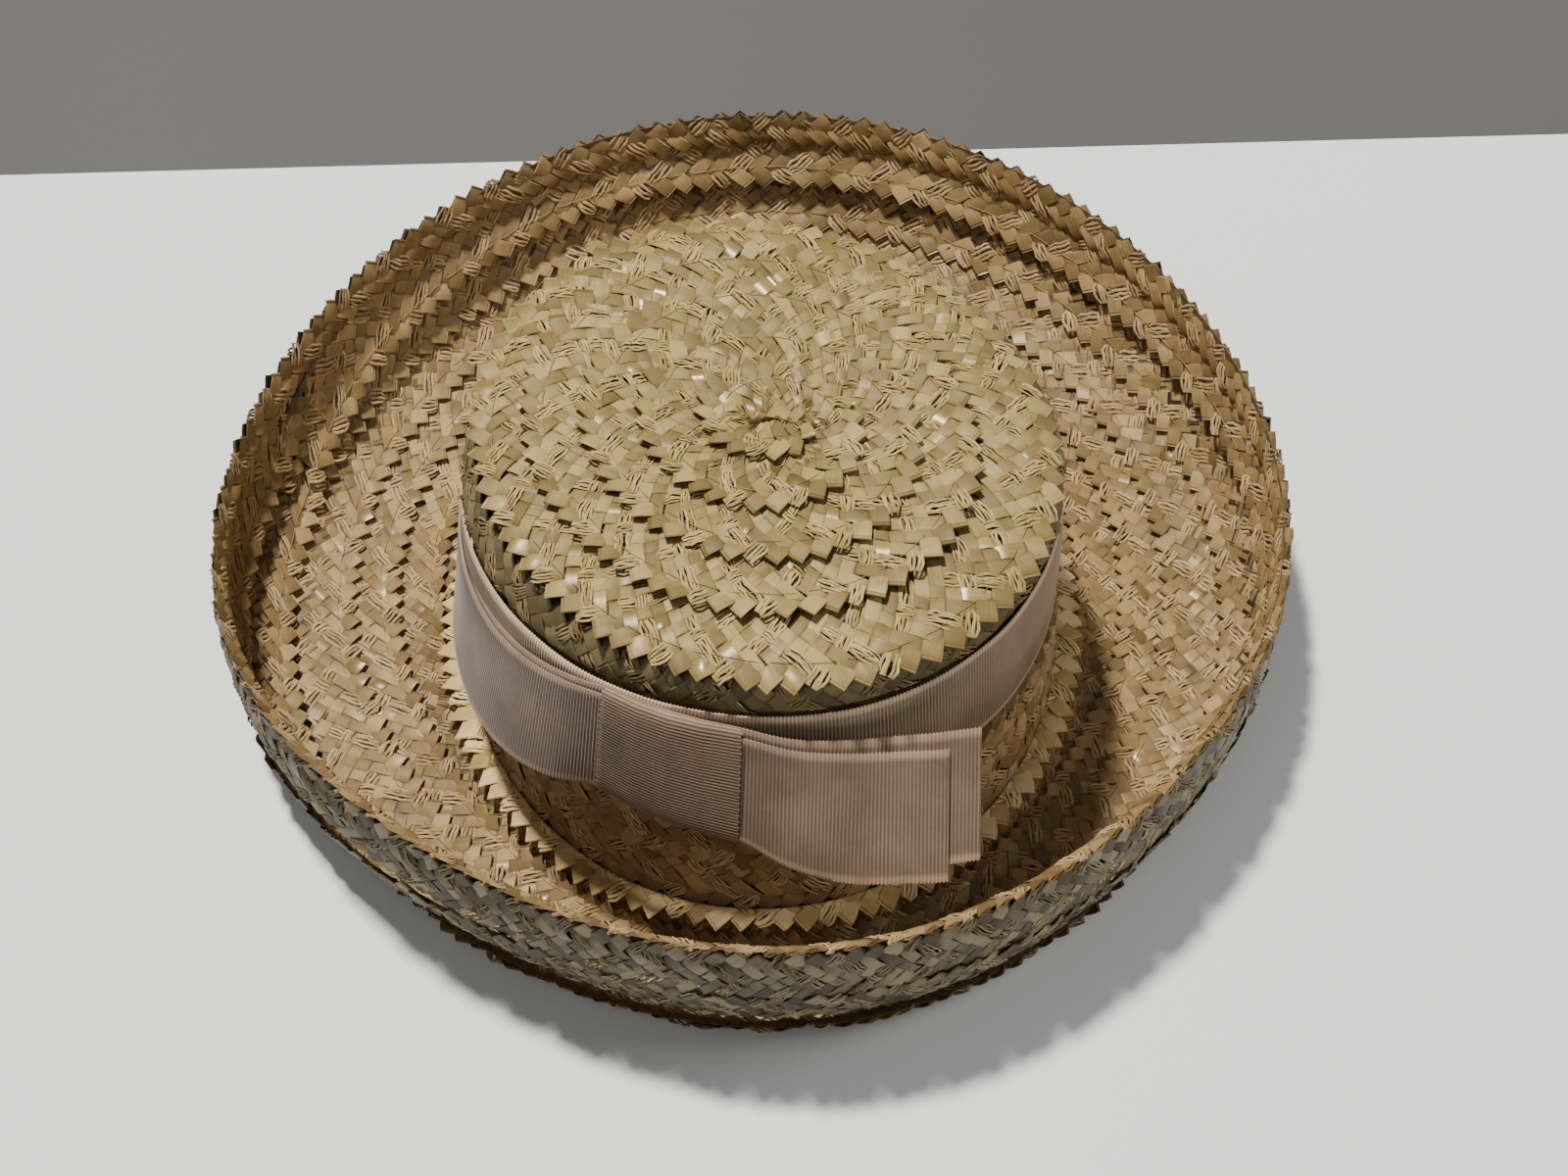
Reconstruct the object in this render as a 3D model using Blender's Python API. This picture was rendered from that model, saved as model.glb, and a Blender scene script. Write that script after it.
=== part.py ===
"""Straw hat with an upturned brim and a flat ribbon bow.

The crown stands on Z, the bow is on the -Y side, the hat rests on the flat
ring under its brim at z = 0.  Every surface is a function of the angle round
the crown and of a share along its own profile, and every offset is a share of
a named size below.
"""
import math

import bpy
import numpy as np

for old in list(bpy.data.objects):
    bpy.data.objects.remove(old, do_unlink=True)

# Driving sizes, metres
TIP_HEIGHT = 0.1050
TIP_DOME = 0.0030
TIP_HALF = 0.0820
BAND_HALF_WIDTH = 0.0840
BAND_HALF_LENGTH = 0.0855
BASE_HALF_WIDTH = 0.0895
BASE_HALF_LENGTH = 0.0990
BASE_HEIGHT = 0.0095
RIM_HALF = 0.1580
RIM_BACK_SHIFT = 0.0238
RIM_HEIGHT = 0.0520
STRAW = 0.0018
ROW_STEP = 0.0009
RIBBON = 0.0008
RIBBON_WIDTH = 0.0380
BAND_TOP = 0.0855
BAND_TILT = 0.0080
BASE_ROW_WIDTH = 0.0070
BASE_ROW_LIFT = 0.0032
RIM_LIP = 0.0075
BOW_OPEN = 0.0005
GAP = 0.0004

# Counts
ROUND = 66
STATIONS = 3
TIP_ROWS = 5
SIDE_ROWS = 5
BRIM_ROWS = 6

# Outline of the tip: order of the wave round the crown, cosine and sine as shares of TIP_HALF
TIP_WAVES = (
    (1, 0.000, -0.030),
    (2, 0.000, -0.056),
)

# Outline of the rim: order of the wave, cosine and sine as shares of RIM_HALF
RIM_WAVES = (
    (1, -0.016, 0.000),
    (2, 0.004, 0.004),
    (3, -0.009, -0.002),
    (4, 0.015, 0.004),
)

# Height of the rim: order of the wave, cosine and sine as shares of RIM_HEIGHT
RIM_LIFTS = (
    (1, -0.010, -0.020),
    (3, 0.012, 0.010),
    (5, 0.010, -0.008),
)

# Crown side from base to tip: share of its height, then the shares of base, band and tip outline
SIDE_PROFILE = (
    (0.00, 1.00, 0.00, 0.00),
    (0.12, 0.86, 0.14, 0.00),
    (0.30, 0.60, 0.40, 0.00),
    (0.50, 0.36, 0.64, 0.00),
    (0.70, 0.16, 0.84, 0.00),
    (0.84, 0.04, 0.92, 0.04),
    (0.93, 0.00, 0.68, 0.32),
    (1.00, 0.00, 0.25, 0.75),
)

# Under face of the brim from crown to rim:
# front way out, front height, back way out, back height, as shares of the way to the rim and of its height
BRIM_PROFILE = (
    (0.00, 0.16, 0.00, 0.16),
    (0.10, 0.12, 0.07, 0.12),
    (0.22, 0.03, 0.17, 0.04),
    (0.42, 0.00, 0.31, 0.00),
    (0.66, 0.00, 0.47, 0.00),
    (0.92, 0.05, 0.64, 0.06),
    (1.07, 0.22, 0.79, 0.22),
    (1.11, 0.45, 0.90, 0.46),
    (1.07, 0.73, 0.97, 0.74),
    (1.00, 1.00, 1.00, 1.00),
)

# Front layer of the bow ribbon, from its fold at the far left to the end of the tail:
# angle round the crown, stand-off of the top edge from the band as a share of RIBBON_WIDTH,
# height of the top edge as a share of TIP_HEIGHT, lean out at the bottom in degrees, angle it leans to
BOW_FRONT = (
    (-181.0, 0.105, 0.700, 6.0, -181.0),
    (-172.0, 0.115, 0.708, 9.0, -172.0),
    (-160.0, 0.120, 0.722, 12.0, -159.0),
    (-148.0, 0.115, 0.742, 15.0, -146.0),
    (-136.0, 0.095, 0.795, 17.5, -133.0),
    (-126.0, 0.096, 0.850, 17.0, -122.0),
    (-117.7, 0.104, 0.892, 14.0, -114.0),
    (-109.5, 0.106, 0.890, 16.5, -106.0),
    (-101.3, 0.108, 0.884, 20.5, -99.0),
    (-93.3, 0.111, 0.872, 26.0, -95.0),
    (-85.0, 0.118, 0.842, 37.0, -92.0),
    (-75.5, 0.138, 0.812, 46.0, -92.0),
    (-67.5, 0.220, 0.796, 50.0, -90.0),
    (-60.8, 0.370, 0.788, 52.0, -90.0),
)
# Rows of the table above that lie under the knot
KNOT_FIRST = 6
KNOT_LAST = 9
# The back layer runs past the front one at the tail, as a share of RIBBON_WIDTH
TAIL_EXTRA = 0.26

# Lift of the outer edge of the loose base row: angle round the crown, share of BASE_ROW_LIFT
BASE_LIFTS = (
    (-180.0, 0.10), (-150.0, 0.15), (-132.0, 0.55), (-118.0, 0.15), (-102.0, 0.85), (-84.0, 1.00),
    (-62.0, 0.80), (-38.0, 1.00), (-18.0, 0.45), (10.0, 0.15), (60.0, 0.20), (120.0, 0.10), (180.0, 0.10),
)


def smooth(table, x):
    """Rows read by a Catmull-Rom curve: first column is the key, the others come back as columns."""
    rows = np.asarray(table, float)
    keys = rows[:, 0]
    vals = rows[:, 1:]
    x = np.clip(np.asarray(x, float), keys[0], keys[-1])
    k = np.clip(np.searchsorted(keys, x, side="right") - 1, 0, len(keys) - 2)
    h = (keys[k + 1] - keys[k])
    f = ((x - keys[k]) / h)[..., None]
    slope = np.gradient(vals, keys, axis=0)
    m0 = slope[k] * h[..., None]
    m1 = slope[k + 1] * h[..., None]
    p0 = vals[k]
    p1 = vals[k + 1]
    f2 = f * f
    f3 = f2 * f
    return (2 * f3 - 3 * f2 + 1) * p0 + (f3 - 2 * f2 + f) * m0 + (3 * f2 - 2 * f3) * p1 + (f3 - f2) * m1


def waves(table, a):
    """Sum of the waves round the crown, one row per order."""
    total = np.zeros_like(a)
    for order, cosine, sine in table:
        total = total + cosine * np.cos(order * a) + sine * np.sin(order * a)
    return total


def oval(a, half_width, half_length):
    """Radius of an oval with the given half sizes, by angle."""
    return 1.0 / np.sqrt((np.cos(a) / half_width) ** 2 + (np.sin(a) / half_length) ** 2)


def tip_radius(a):
    """Outer edge of the tip."""
    return TIP_HALF * (1.0 + waves(TIP_WAVES, a))


def base_radius(a):
    """Foot of the crown side, set a little to the left and front."""
    return oval(a, BASE_HALF_WIDTH, BASE_HALF_LENGTH) + 0.015 * BASE_HALF_WIDTH * np.cos(a + math.radians(150))


def rim_radius(a):
    """Rim, whose centre lies behind the crown by RIM_BACK_SHIFT."""
    return RIM_HALF * (1.0 + waves(RIM_WAVES, a)) + RIM_BACK_SHIFT * np.sin(a)


def rim_height(a):
    """Height of the rim with its slow waves."""
    return RIM_HEIGHT * (1.0 + waves(RIM_LIFTS, a))


SIDE_FOOT = BASE_HEIGHT - 0.0015
SIDE_TOP = TIP_HEIGHT - STRAW + 0.06 * TIP_DOME - GAP


def side_radius(a, z):
    """Smooth outer face of the crown side at height z."""
    share = np.clip((z - SIDE_FOOT) / (SIDE_TOP - SIDE_FOOT), 0.0, 1.0)
    part = smooth(SIDE_PROFILE, share)
    band = oval(a, BAND_HALF_WIDTH, BAND_HALF_LENGTH)
    top = tip_radius(a) - 0.03 * TIP_HALF
    return part[..., 0] * base_radius(a) + part[..., 1] * band + part[..., 2] * top


def brim_under(a, n=241):
    """Under face of the brim at the angles a: way out and height at n points along the profile."""
    front = (1.0 - np.sin(a)) / 2.0
    front = (front * front * (3.0 - 2.0 * front))[:, None]
    u = np.linspace(0.0, len(BRIM_PROFILE) - 1.0, n)
    keyed = [(k,) + row for k, row in enumerate(BRIM_PROFILE)]
    p = smooth(keyed, u)
    out = p[None, :, 0] * front + p[None, :, 2] * (1.0 - front)
    high = p[None, :, 1] * front + p[None, :, 3] * (1.0 - front)
    foot = base_radius(a)[:, None] + ROW_STEP / 2 + GAP
    r = foot + (rim_radius(a)[:, None] - foot) * out
    z = np.maximum(high, 0.0) * rim_height(a)[:, None]
    return r, z


def brim_point(a, share, off):
    """Points of the brim at one share of its length for all angles a, off metres above the under face."""
    r, z = brim_under(a)
    dr = np.gradient(r, axis=1)
    dz = np.gradient(z, axis=1)
    ds = np.hypot(dr, dz)
    run = np.cumsum(ds, axis=1) - ds[:, :1]
    way = share * run[:, -1]
    out = np.empty((len(a), 2))
    for i in range(len(a)):
        rr = np.interp(way[i], run[i], r[i])
        zz = np.interp(way[i], run[i], z[i])
        tr = np.interp(way[i], run[i], dr[i] / ds[i])
        tz = np.interp(way[i], run[i], dz[i] / ds[i])
        past = max(0.0, way[i] - run[i, -1])
        out[i] = (rr - tz * off + tr * past, zz + tr * off + tz * past)
    return out


def polar(a, rz):
    """Rows of (radius, height) to points."""
    return np.stack([rz[:, 0] * np.cos(a), rz[:, 0] * np.sin(a), rz[:, 1]], axis=-1)


def material(name, colour, roughness):
    """Plain material with a Principled shader."""
    mat = bpy.data.materials.new(name)
    mat.use_nodes = True
    node = mat.node_tree.nodes["Principled BSDF"]
    node.inputs["Base Color"].default_value = colour + (1.0,)
    node.inputs["Roughness"].default_value = roughness
    node.inputs["Metallic"].default_value = 0.0
    return mat


def signed_volume(points, faces):
    """Volume of the body, negative when its faces point in."""
    total = 0.0
    for face in faces:
        for k in range(1, len(face) - 1):
            total += np.dot(points[face[0]], np.cross(points[face[k]], points[face[k + 1]]))
    return total / 6.0


def body(name, points, faces, mat):
    """One closed body with its faces pointing out."""
    points = np.asarray(points, float)
    if signed_volume(points, faces) < 0:
        faces = [tuple(reversed(f)) for f in faces]
    mesh = bpy.data.meshes.new(name)
    mesh.from_pydata([tuple(p) for p in points], [], faces)
    mesh.materials.append(mat)
    mesh.update()
    obj = bpy.data.objects.new(name, mesh)
    bpy.context.scene.collection.objects.link(obj)
    return obj


def ring_body(name, sections, mat):
    """Body swept round the crown: sections is (angle, point of the closed section, xyz)."""
    n, m, _ = sections.shape
    faces = []
    for i in range(n):
        k = (i + 1) % n
        for j in range(m):
            q = (j + 1) % m
            faces.append((i * m + j, k * m + j, k * m + q))
            faces.append((i * m + j, k * m + q, i * m + q))
    return body(name, sections.reshape(-1, 3), faces, mat)


def strip_body(name, sections, mat):
    """Body swept along an open path: sections is (station, point of the closed section, xyz)."""
    n, m, _ = sections.shape
    faces = []
    for i in range(n - 1):
        for j in range(m):
            q = (j + 1) % m
            faces.append((i * m + j, (i + 1) * m + j, (i + 1) * m + q))
            faces.append((i * m + j, (i + 1) * m + q, i * m + q))
    half = m // 2
    for i, turn in ((0, 1), (n - 1, -1)):
        for j in range(half - 1):
            quad = (i * m + j, i * m + j + 1, i * m + m - 2 - j, i * m + m - 1 - j)
            quad = quad if turn == 1 else tuple(reversed(quad))
            faces.append((quad[0], quad[1], quad[2]))
            faces.append((quad[0], quad[2], quad[3]))
    return body(name, sections.reshape(-1, 3), faces, mat)


def tube_body(name, outer, inner, mat):
    """Open-ended wrap: outer and inner rings at each station along a short path."""
    n, m, _ = outer.shape
    points = np.concatenate([outer.reshape(-1, 3), inner.reshape(-1, 3)])
    lift = n * m
    faces = []

    def quad(p, q, r, s):
        faces.append((p, q, r))
        faces.append((p, r, s))

    for i in range(n - 1):
        for j in range(m):
            q = (j + 1) % m
            quad(i * m + j, (i + 1) * m + j, (i + 1) * m + q, i * m + q)
            quad(lift + i * m + q, lift + (i + 1) * m + q, lift + (i + 1) * m + j, lift + i * m + j)
    for j in range(m):
        q = (j + 1) % m
        last = (n - 1) * m
        quad(j, q, lift + q, lift + j)
        quad(last + q, last + j, lift + last + j, lift + last + q)
    return body(name, points, faces, mat)


angles = np.arange(ROUND) * 2.0 * math.pi / ROUND

straw_tip = material("straw_tip", (0.40, 0.32, 0.17), 0.45)
straw_side = material("straw_side", (0.33, 0.25, 0.13), 0.50)
straw_brim = material("straw_brim", (0.42, 0.31, 0.17), 0.50)
straw_edge = material("straw_edge", (0.36, 0.27, 0.14), 0.50)
ribbon_cloth = material("grosgrain_ribbon", (0.40, 0.27, 0.21), 0.75)
bow_cloth = material("grosgrain_bow", (0.42, 0.28, 0.22), 0.75)


def build_tip():
    """Oval disc: its top is a low dome with one step down at the edge of each plait row."""
    tip = tip_radius(angles)
    rings = []
    shares = []
    for k in range(1, TIP_ROWS + 1):
        edge = (k - 0.1) / (TIP_ROWS - 0.1)
        shares.append((edge, 0.5))
        if k < TIP_ROWS:
            shares.append((edge + 0.010, -0.5))
    for share, step in shares:
        z = TIP_HEIGHT + TIP_DOME * (1.0 - share ** 2) + ROW_STEP * step
        rings.append(polar(angles, np.stack([tip * share, np.full(ROUND, z)], -1)))
    for share, low in ((1.0, 0.45), (0.985, 1.0), (0.93, 1.0), (0.5, 1.0)):
        z = TIP_HEIGHT + TIP_DOME * (1.0 - share ** 2) - STRAW * low
        rings.append(polar(angles, np.stack([tip * share, np.full(ROUND, z)], -1)))
    rings = np.array(rings)
    m = len(rings)
    points = list(rings.reshape(-1, 3))
    points.append((0.0, 0.0, TIP_HEIGHT + TIP_DOME + ROW_STEP * 0.3))
    points.append((0.0, 0.0, TIP_HEIGHT + TIP_DOME - STRAW))
    top = m * ROUND
    faces = []
    for j in range(m - 1):
        for i in range(ROUND):
            k = (i + 1) % ROUND
            faces.append((j * ROUND + i, j * ROUND + k, (j + 1) * ROUND + k))
            faces.append((j * ROUND + i, (j + 1) * ROUND + k, (j + 1) * ROUND + i))
    for i in range(ROUND):
        k = (i + 1) % ROUND
        faces.append((i, top, k))
        faces.append(((m - 1) * ROUND + k, top + 1, (m - 1) * ROUND + i))
    return body("crown_tip", points, faces, straw_tip)


def build_side():
    """Crown side: each upper plait row stands over the next by ROW_STEP; the inside is smooth."""
    section = []
    height = SIDE_TOP - SIDE_FOOT
    for k in range(SIDE_ROWS):
        low = SIDE_FOOT + height * k / SIDE_ROWS
        high = SIDE_FOOT + height * (k + 1) / SIDE_ROWS
        section.append((low + 0.0004, 0.5))
        section.append((high - (0.0004 if k < SIDE_ROWS - 1 else 0.0), -0.5))
    rings = []
    for z, step in section:
        rings.append(np.stack([side_radius(angles, np.full(ROUND, z)) + ROW_STEP * step, np.full(ROUND, z)], -1))
    for share in (1.0, 0.86, 0.6, 0.3, 0.0):
        z = SIDE_FOOT + height * share + (0.0004 if share == 0 else 0)
        rings.append(np.stack([side_radius(angles, np.full(ROUND, z)) - STRAW, np.full(ROUND, z)], -1))
    return ring_body("crown_side", np.stack([polar(angles, r) for r in rings], axis=1), straw_side)


def build_brim():
    """Brim: flat resting ring below, plait rows stepping down towards the rim above."""
    r, z = brim_under(angles, len(BRIM_PROFILE))
    rings = [polar(angles, np.stack([r[:, k], z[:, k]], -1)) for k in range(len(BRIM_PROFILE))]
    top = []
    for k in range(BRIM_ROWS):
        top.append((k / BRIM_ROWS + 0.004, -0.5 if k else 0.0))
        if k in (0, 3):
            top.append(((k + 0.5) / BRIM_ROWS, 0.0))
        top.append(((k + 1) / BRIM_ROWS - (0.004 if k < BRIM_ROWS - 1 else 0.0), 0.5))
    for share, step in reversed(top):
        if share < 0.01:
            share = 0.0
        rings.append(polar(angles, brim_point(angles, share, STRAW + ROW_STEP * step)))
    return ring_body("brim", np.stack(rings, axis=1), straw_brim)


def build_rim():
    """Last plait folded over the edge of the brim: a U that leaves GAP to the brim all round."""
    length = 0.100
    turn = 1.0 + (GAP + 0.0011) / length
    inside = STRAW + ROW_STEP / 2 + GAP
    lip = 0.0011
    low = 1.0 - RIM_LIP / length
    mid = 1.0 - 0.45 * RIM_LIP / length
    section = (
        (low, -GAP - lip), (mid, -GAP - lip), (1.0, -GAP - lip), (turn, -0.1 * STRAW),
        (turn, STRAW * 0.9), (1.0, inside + lip), (low, inside + lip),
        (low, inside), (1.0 + GAP / length, inside),
        (1.0 + GAP / length, -GAP), (mid, -GAP), (low, -GAP),
    )
    rings = [polar(angles, brim_point(angles, share, off)) for share, off in section]
    return ring_body("rim_binding", np.stack(rings, axis=1), straw_edge)


def build_base_row():
    """Loose plait row lying round the foot of the crown, its outer edge lifted where it has come loose."""
    inner = base_radius(angles) + ROW_STEP / 2 + GAP
    degrees = np.degrees((angles + math.pi) % (2.0 * math.pi) - math.pi)
    lift = smooth(BASE_LIFTS, degrees)[..., 0] * BASE_ROW_LIFT
    r, z = brim_under(angles)
    dr = np.gradient(r, axis=1)
    dz = np.gradient(z, axis=1)
    ds = np.hypot(dr, dz)
    off = STRAW + ROW_STEP / 2 + GAP
    face_r = r - dz / ds * off
    face_z = z + dr / ds * off
    low = []
    high = []
    for d in (0.0, 0.5, 1.0):
        rad = inner + BASE_ROW_WIDTH * d
        zz = np.array([np.interp(rad[i], face_r[i, :90], face_z[i, :90]) for i in range(ROUND)])
        zz = zz + lift * d ** 1.5
        low.append(polar(angles, np.stack([rad, zz], -1)))
        high.append(polar(angles, np.stack([rad, zz + STRAW * 0.7], -1)))
    return ring_body("base_row", np.stack(low + high[::-1], axis=1), straw_edge)


def band_top(a):
    """Top edge of the ribbon band: higher at the front."""
    return BAND_TOP - BAND_TILT * np.sin(a)


def band_face(a, z, off):
    """Radius of the ribbon band at height z, off metres out from its inner face."""
    return side_radius(a, z) + ROW_STEP / 2 + GAP + off


def build_band():
    """Ribbon round the crown, one thin ring that follows the crown side."""
    inner = []
    outer = []
    for share in (0.0, 0.4, 0.75, 1.0):
        z = band_top(angles) - RIBBON_WIDTH * (1.0 - share)
        inner.append(polar(angles, np.stack([band_face(angles, z, 0.0), z], -1)))
        outer.append(polar(angles, np.stack([band_face(angles, z, RIBBON), z], -1)))
    return ring_body("ribbon_band", np.stack(inner + outer[::-1], axis=1), ribbon_cloth)


def bow_frames():
    """Top points and bottom directions of the bow ribbon along its front layer, STATIONS steps a row."""
    keys = np.array([row[0] for row in BOW_FRONT])
    steps = np.arange((len(keys) - 1) * STATIONS + 1) / STATIONS
    at = np.interp(steps, np.arange(len(keys)), keys)
    rows = np.concatenate([at[:, None], smooth(BOW_FRONT, at)], axis=1)
    a = np.radians(rows[:, 0])
    z = rows[:, 2] * TIP_HEIGHT
    r = band_face(a, z, RIBBON) + rows[:, 1] * RIBBON_WIDTH
    top = np.stack([r * np.cos(a), r * np.sin(a), z], -1)
    lean = np.radians(rows[:, 3])
    to = np.radians(rows[:, 4])
    down = np.stack([np.sin(lean) * np.cos(to), np.sin(lean) * np.sin(to), -np.cos(lean)], -1)
    return top, down


def facing(top, down):
    """Unit direction that faces out from the ribbon at each station."""
    run = np.gradient(top, axis=0)
    out = np.cross(down, run)
    out = out / np.linalg.norm(out, axis=1)[:, None]
    if np.dot(out[len(out) // 2], top[len(out) // 2]) < 0:
        out = -out
    return out


def build_bow():
    """One ribbon: front layer from tail to far left, a fold, and the back layer to the longer tail."""
    top, down = bow_frames()
    out = facing(top, down)
    front = top - out * (RIBBON / 2)
    depth = RIBBON + BOW_OPEN
    back = front - out * depth
    run = (front[0] - front[1]) / np.linalg.norm(front[0] - front[1])
    fold = []
    for deg in (30, 60, 90, 120, 150):
        c = math.cos(math.radians(deg))
        s = math.sin(math.radians(deg))
        fold.append((front[0] + back[0]) / 2 + out[0] * depth / 2 * c + run * depth / 2 * s)
    tail = (back[-1] - back[-2]) / np.linalg.norm(back[-1] - back[-2])
    extra = back[-1] + tail * TAIL_EXTRA * RIBBON_WIDTH
    path = np.concatenate([front[::-1], np.array(fold), back, extra[None]])
    drop = np.concatenate([down[::-1], np.repeat(down[:1], len(fold), axis=0), down, down[-1:]])
    normal = np.cross(drop, np.gradient(path, axis=0))
    normal = normal / np.linalg.norm(normal, axis=1)[:, None]
    sections = []
    for share in (0.0, 0.5, 1.0):
        sections.append(path + drop * RIBBON_WIDTH * share + normal * RIBBON / 2)
    for share in (1.0, 0.5, 0.0):
        sections.append(path + drop * RIBBON_WIDTH * share - normal * RIBBON / 2)
    return strip_body("bow_ribbon", np.stack(sections, axis=1), bow_cloth)


def build_knot():
    """Short ribbon wrapped once round both layers of the bow."""
    top, down = bow_frames()
    out = facing(top, down)
    pick = slice(KNOT_FIRST * STATIONS, KNOT_LAST * STATIONS + 1)
    top = top[pick]
    down = down[pick]
    out = out[pick]
    depth = 2 * RIBBON + BOW_OPEN
    sections = []
    for grow in (GAP + RIBBON, GAP):
        near = grow
        far = depth + grow
        wide = RIBBON_WIDTH
        turn = grow * 0.6
        ring = (
            (-grow + turn, near), (wide * 0.5, near + 0.0002),
            (wide + grow - turn, near), (wide + grow, near - turn), (wide + grow, -far + turn),
            (wide + grow - turn, -far), (wide * 0.5, -far), (-grow + turn, -far),
            (-grow, -far + turn), (-grow, near - turn),
        )
        sections.append(np.stack([top + down * w + out * n for w, n in ring], axis=1))
    return tube_body("bow_knot", sections[0], sections[1], bow_cloth)


def centre(pieces):
    """Move all meshes together so that their common box stands centred on the origin, bottom at z = 0."""
    low = np.full(3, 1e9)
    high = np.full(3, -1e9)
    for obj in pieces:
        co = np.empty(len(obj.data.vertices) * 3)
        obj.data.vertices.foreach_get("co", co)
        co = co.reshape(-1, 3)
        low = np.minimum(low, co.min(axis=0))
        high = np.maximum(high, co.max(axis=0))
    shift = np.array([-(low[0] + high[0]) / 2, -(low[1] + high[1]) / 2, -low[2]])
    for obj in pieces:
        co = np.empty(len(obj.data.vertices) * 3)
        obj.data.vertices.foreach_get("co", co)
        co = (co.reshape(-1, 3) + shift).ravel()
        obj.data.vertices.foreach_set("co", co)
        obj.data.update()
    print("crown axis at", np.round(shift, 6))


centre([
    build_tip(), build_side(), build_brim(), build_rim(),
    build_base_row(), build_band(), build_bow(), build_knot(),
])
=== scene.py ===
"""Straw hat of seven-end plait with a turned-up brim, ribbon band and flat bow.

The plait is built straw by straw.  A place in a row of plait is a pair
(corner, level): corner counts the points of the row's saw-tooth edge, level
counts half pitches across the row from the corner centres.  Every straw is a
straight arm that climbs or falls one level for each half corner, so that the
arms cross at whole levels.  Each part of the hat gives a function from
(corner, level, height above the weave) to a point in space.
"""
import math

import bpy
import numpy as np
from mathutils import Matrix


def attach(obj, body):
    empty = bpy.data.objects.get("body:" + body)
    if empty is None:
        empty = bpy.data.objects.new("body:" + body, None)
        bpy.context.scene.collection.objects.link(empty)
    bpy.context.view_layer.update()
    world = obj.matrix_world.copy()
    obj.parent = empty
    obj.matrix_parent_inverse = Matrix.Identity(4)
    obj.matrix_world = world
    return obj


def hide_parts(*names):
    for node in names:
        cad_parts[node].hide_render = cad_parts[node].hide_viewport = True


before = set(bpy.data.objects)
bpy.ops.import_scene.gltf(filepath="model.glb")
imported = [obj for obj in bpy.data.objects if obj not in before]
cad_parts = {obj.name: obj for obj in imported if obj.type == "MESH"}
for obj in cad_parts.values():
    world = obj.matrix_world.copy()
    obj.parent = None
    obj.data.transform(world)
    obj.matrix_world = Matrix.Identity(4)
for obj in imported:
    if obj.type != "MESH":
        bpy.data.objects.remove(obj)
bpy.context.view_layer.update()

# Sizes of the hat, metres
AXIS_X = 0.003551
AXIS_Y = -0.022795
TIP_HEIGHT = 0.1050
TIP_DOME = 0.0030
TIP_HALF = 0.0820
BAND_HALF_WIDTH = 0.0840
BAND_HALF_LENGTH = 0.0855
BASE_HALF_WIDTH = 0.0895
BASE_HALF_LENGTH = 0.0990
RIM_HALF = 0.1580
RIM_BACK_SHIFT = 0.0238
RIM_HEIGHT = 0.0520
SIDE_FOOT = 0.0080
SIDE_TOP = 0.1030
RIBBON_WIDTH = 0.0380
BAND_TOP = 0.0855
BAND_TILT = 0.0080

# Sizes of the plait and the ribbon, metres
PITCH = 0.0062
STRAW_WIDTH = 0.00425
STRAW_THICK = 0.00017
WEAVE_RISE = 0.00042
ROW_TILT = 0.00150
BRIM_TILT = 0.00135
SQUARE_WIDTH = 1.24
SQUARE_ROLL = 0.09
RIB = 0.00104
RIB_RISE = 0.00014
CLOTH = 0.00050
PER_RIB = 3

# Outline waves: order, cosine share, sine share
TIP_WAVES = ((1, 0.000, -0.030), (2, 0.000, -0.056))
RIM_WAVES = ((1, -0.016, 0.000), (2, 0.004, 0.004), (3, -0.009, -0.002), (4, 0.015, 0.004))
RIM_LIFTS = ((1, -0.010, -0.020), (3, 0.012, 0.010), (5, 0.010, -0.008))

# Crown side: share of its height, then shares of base, band and tip outline
SIDE_PROFILE = (
    (0.00, 1.00, 0.00, 0.00),
    (0.12, 0.86, 0.14, 0.00),
    (0.30, 0.60, 0.40, 0.00),
    (0.50, 0.36, 0.64, 0.00),
    (0.70, 0.16, 0.84, 0.00),
    (0.84, 0.04, 0.92, 0.04),
    (0.93, 0.00, 0.68, 0.32),
    (1.00, 0.00, 0.25, 0.75),
)

# Brim from crown to rim: front way out, front height, back way out, back height, as shares
BRIM_PROFILE = (
    (0.00, 0.16, 0.00, 0.16),
    (0.10, 0.12, 0.07, 0.12),
    (0.22, 0.03, 0.17, 0.04),
    (0.42, 0.00, 0.31, 0.00),
    (0.66, 0.00, 0.47, 0.00),
    (0.92, 0.05, 0.64, 0.06),
    (1.07, 0.22, 0.79, 0.22),
    (1.11, 0.45, 0.90, 0.46),
    (1.07, 0.73, 0.97, 0.74),
    (1.00, 1.00, 1.00, 1.00),
)

# Bow: angle round the crown, stand-off from the band, height of the top edge, lean, angle it leans to
BOW_FRONT = (
    (-181.0, 0.012, 0.694, 6.0, -181.0),
    (-172.0, 0.014, 0.704, 9.0, -172.0),
    (-160.0, 0.020, 0.724, 12.0, -159.0),
    (-148.0, 0.030, 0.752, 15.0, -146.0),
    (-136.0, 0.045, 0.800, 17.5, -133.0),
    (-126.0, 0.070, 0.850, 17.0, -122.0),
    (-117.7, 0.104, 0.892, 14.0, -114.0),
    (-109.5, 0.106, 0.890, 16.5, -106.0),
    (-101.3, 0.108, 0.884, 20.5, -99.0),
    (-93.3, 0.116, 0.872, 26.0, -95.0),
    (-85.0, 0.150, 0.836, 35.0, -92.0),
    (-75.5, 0.185, 0.802, 42.0, -92.0),
    (-67.5, 0.250, 0.783, 45.0, -90.0),
    (-60.8, 0.370, 0.776, 47.0, -90.0),
)

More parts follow.
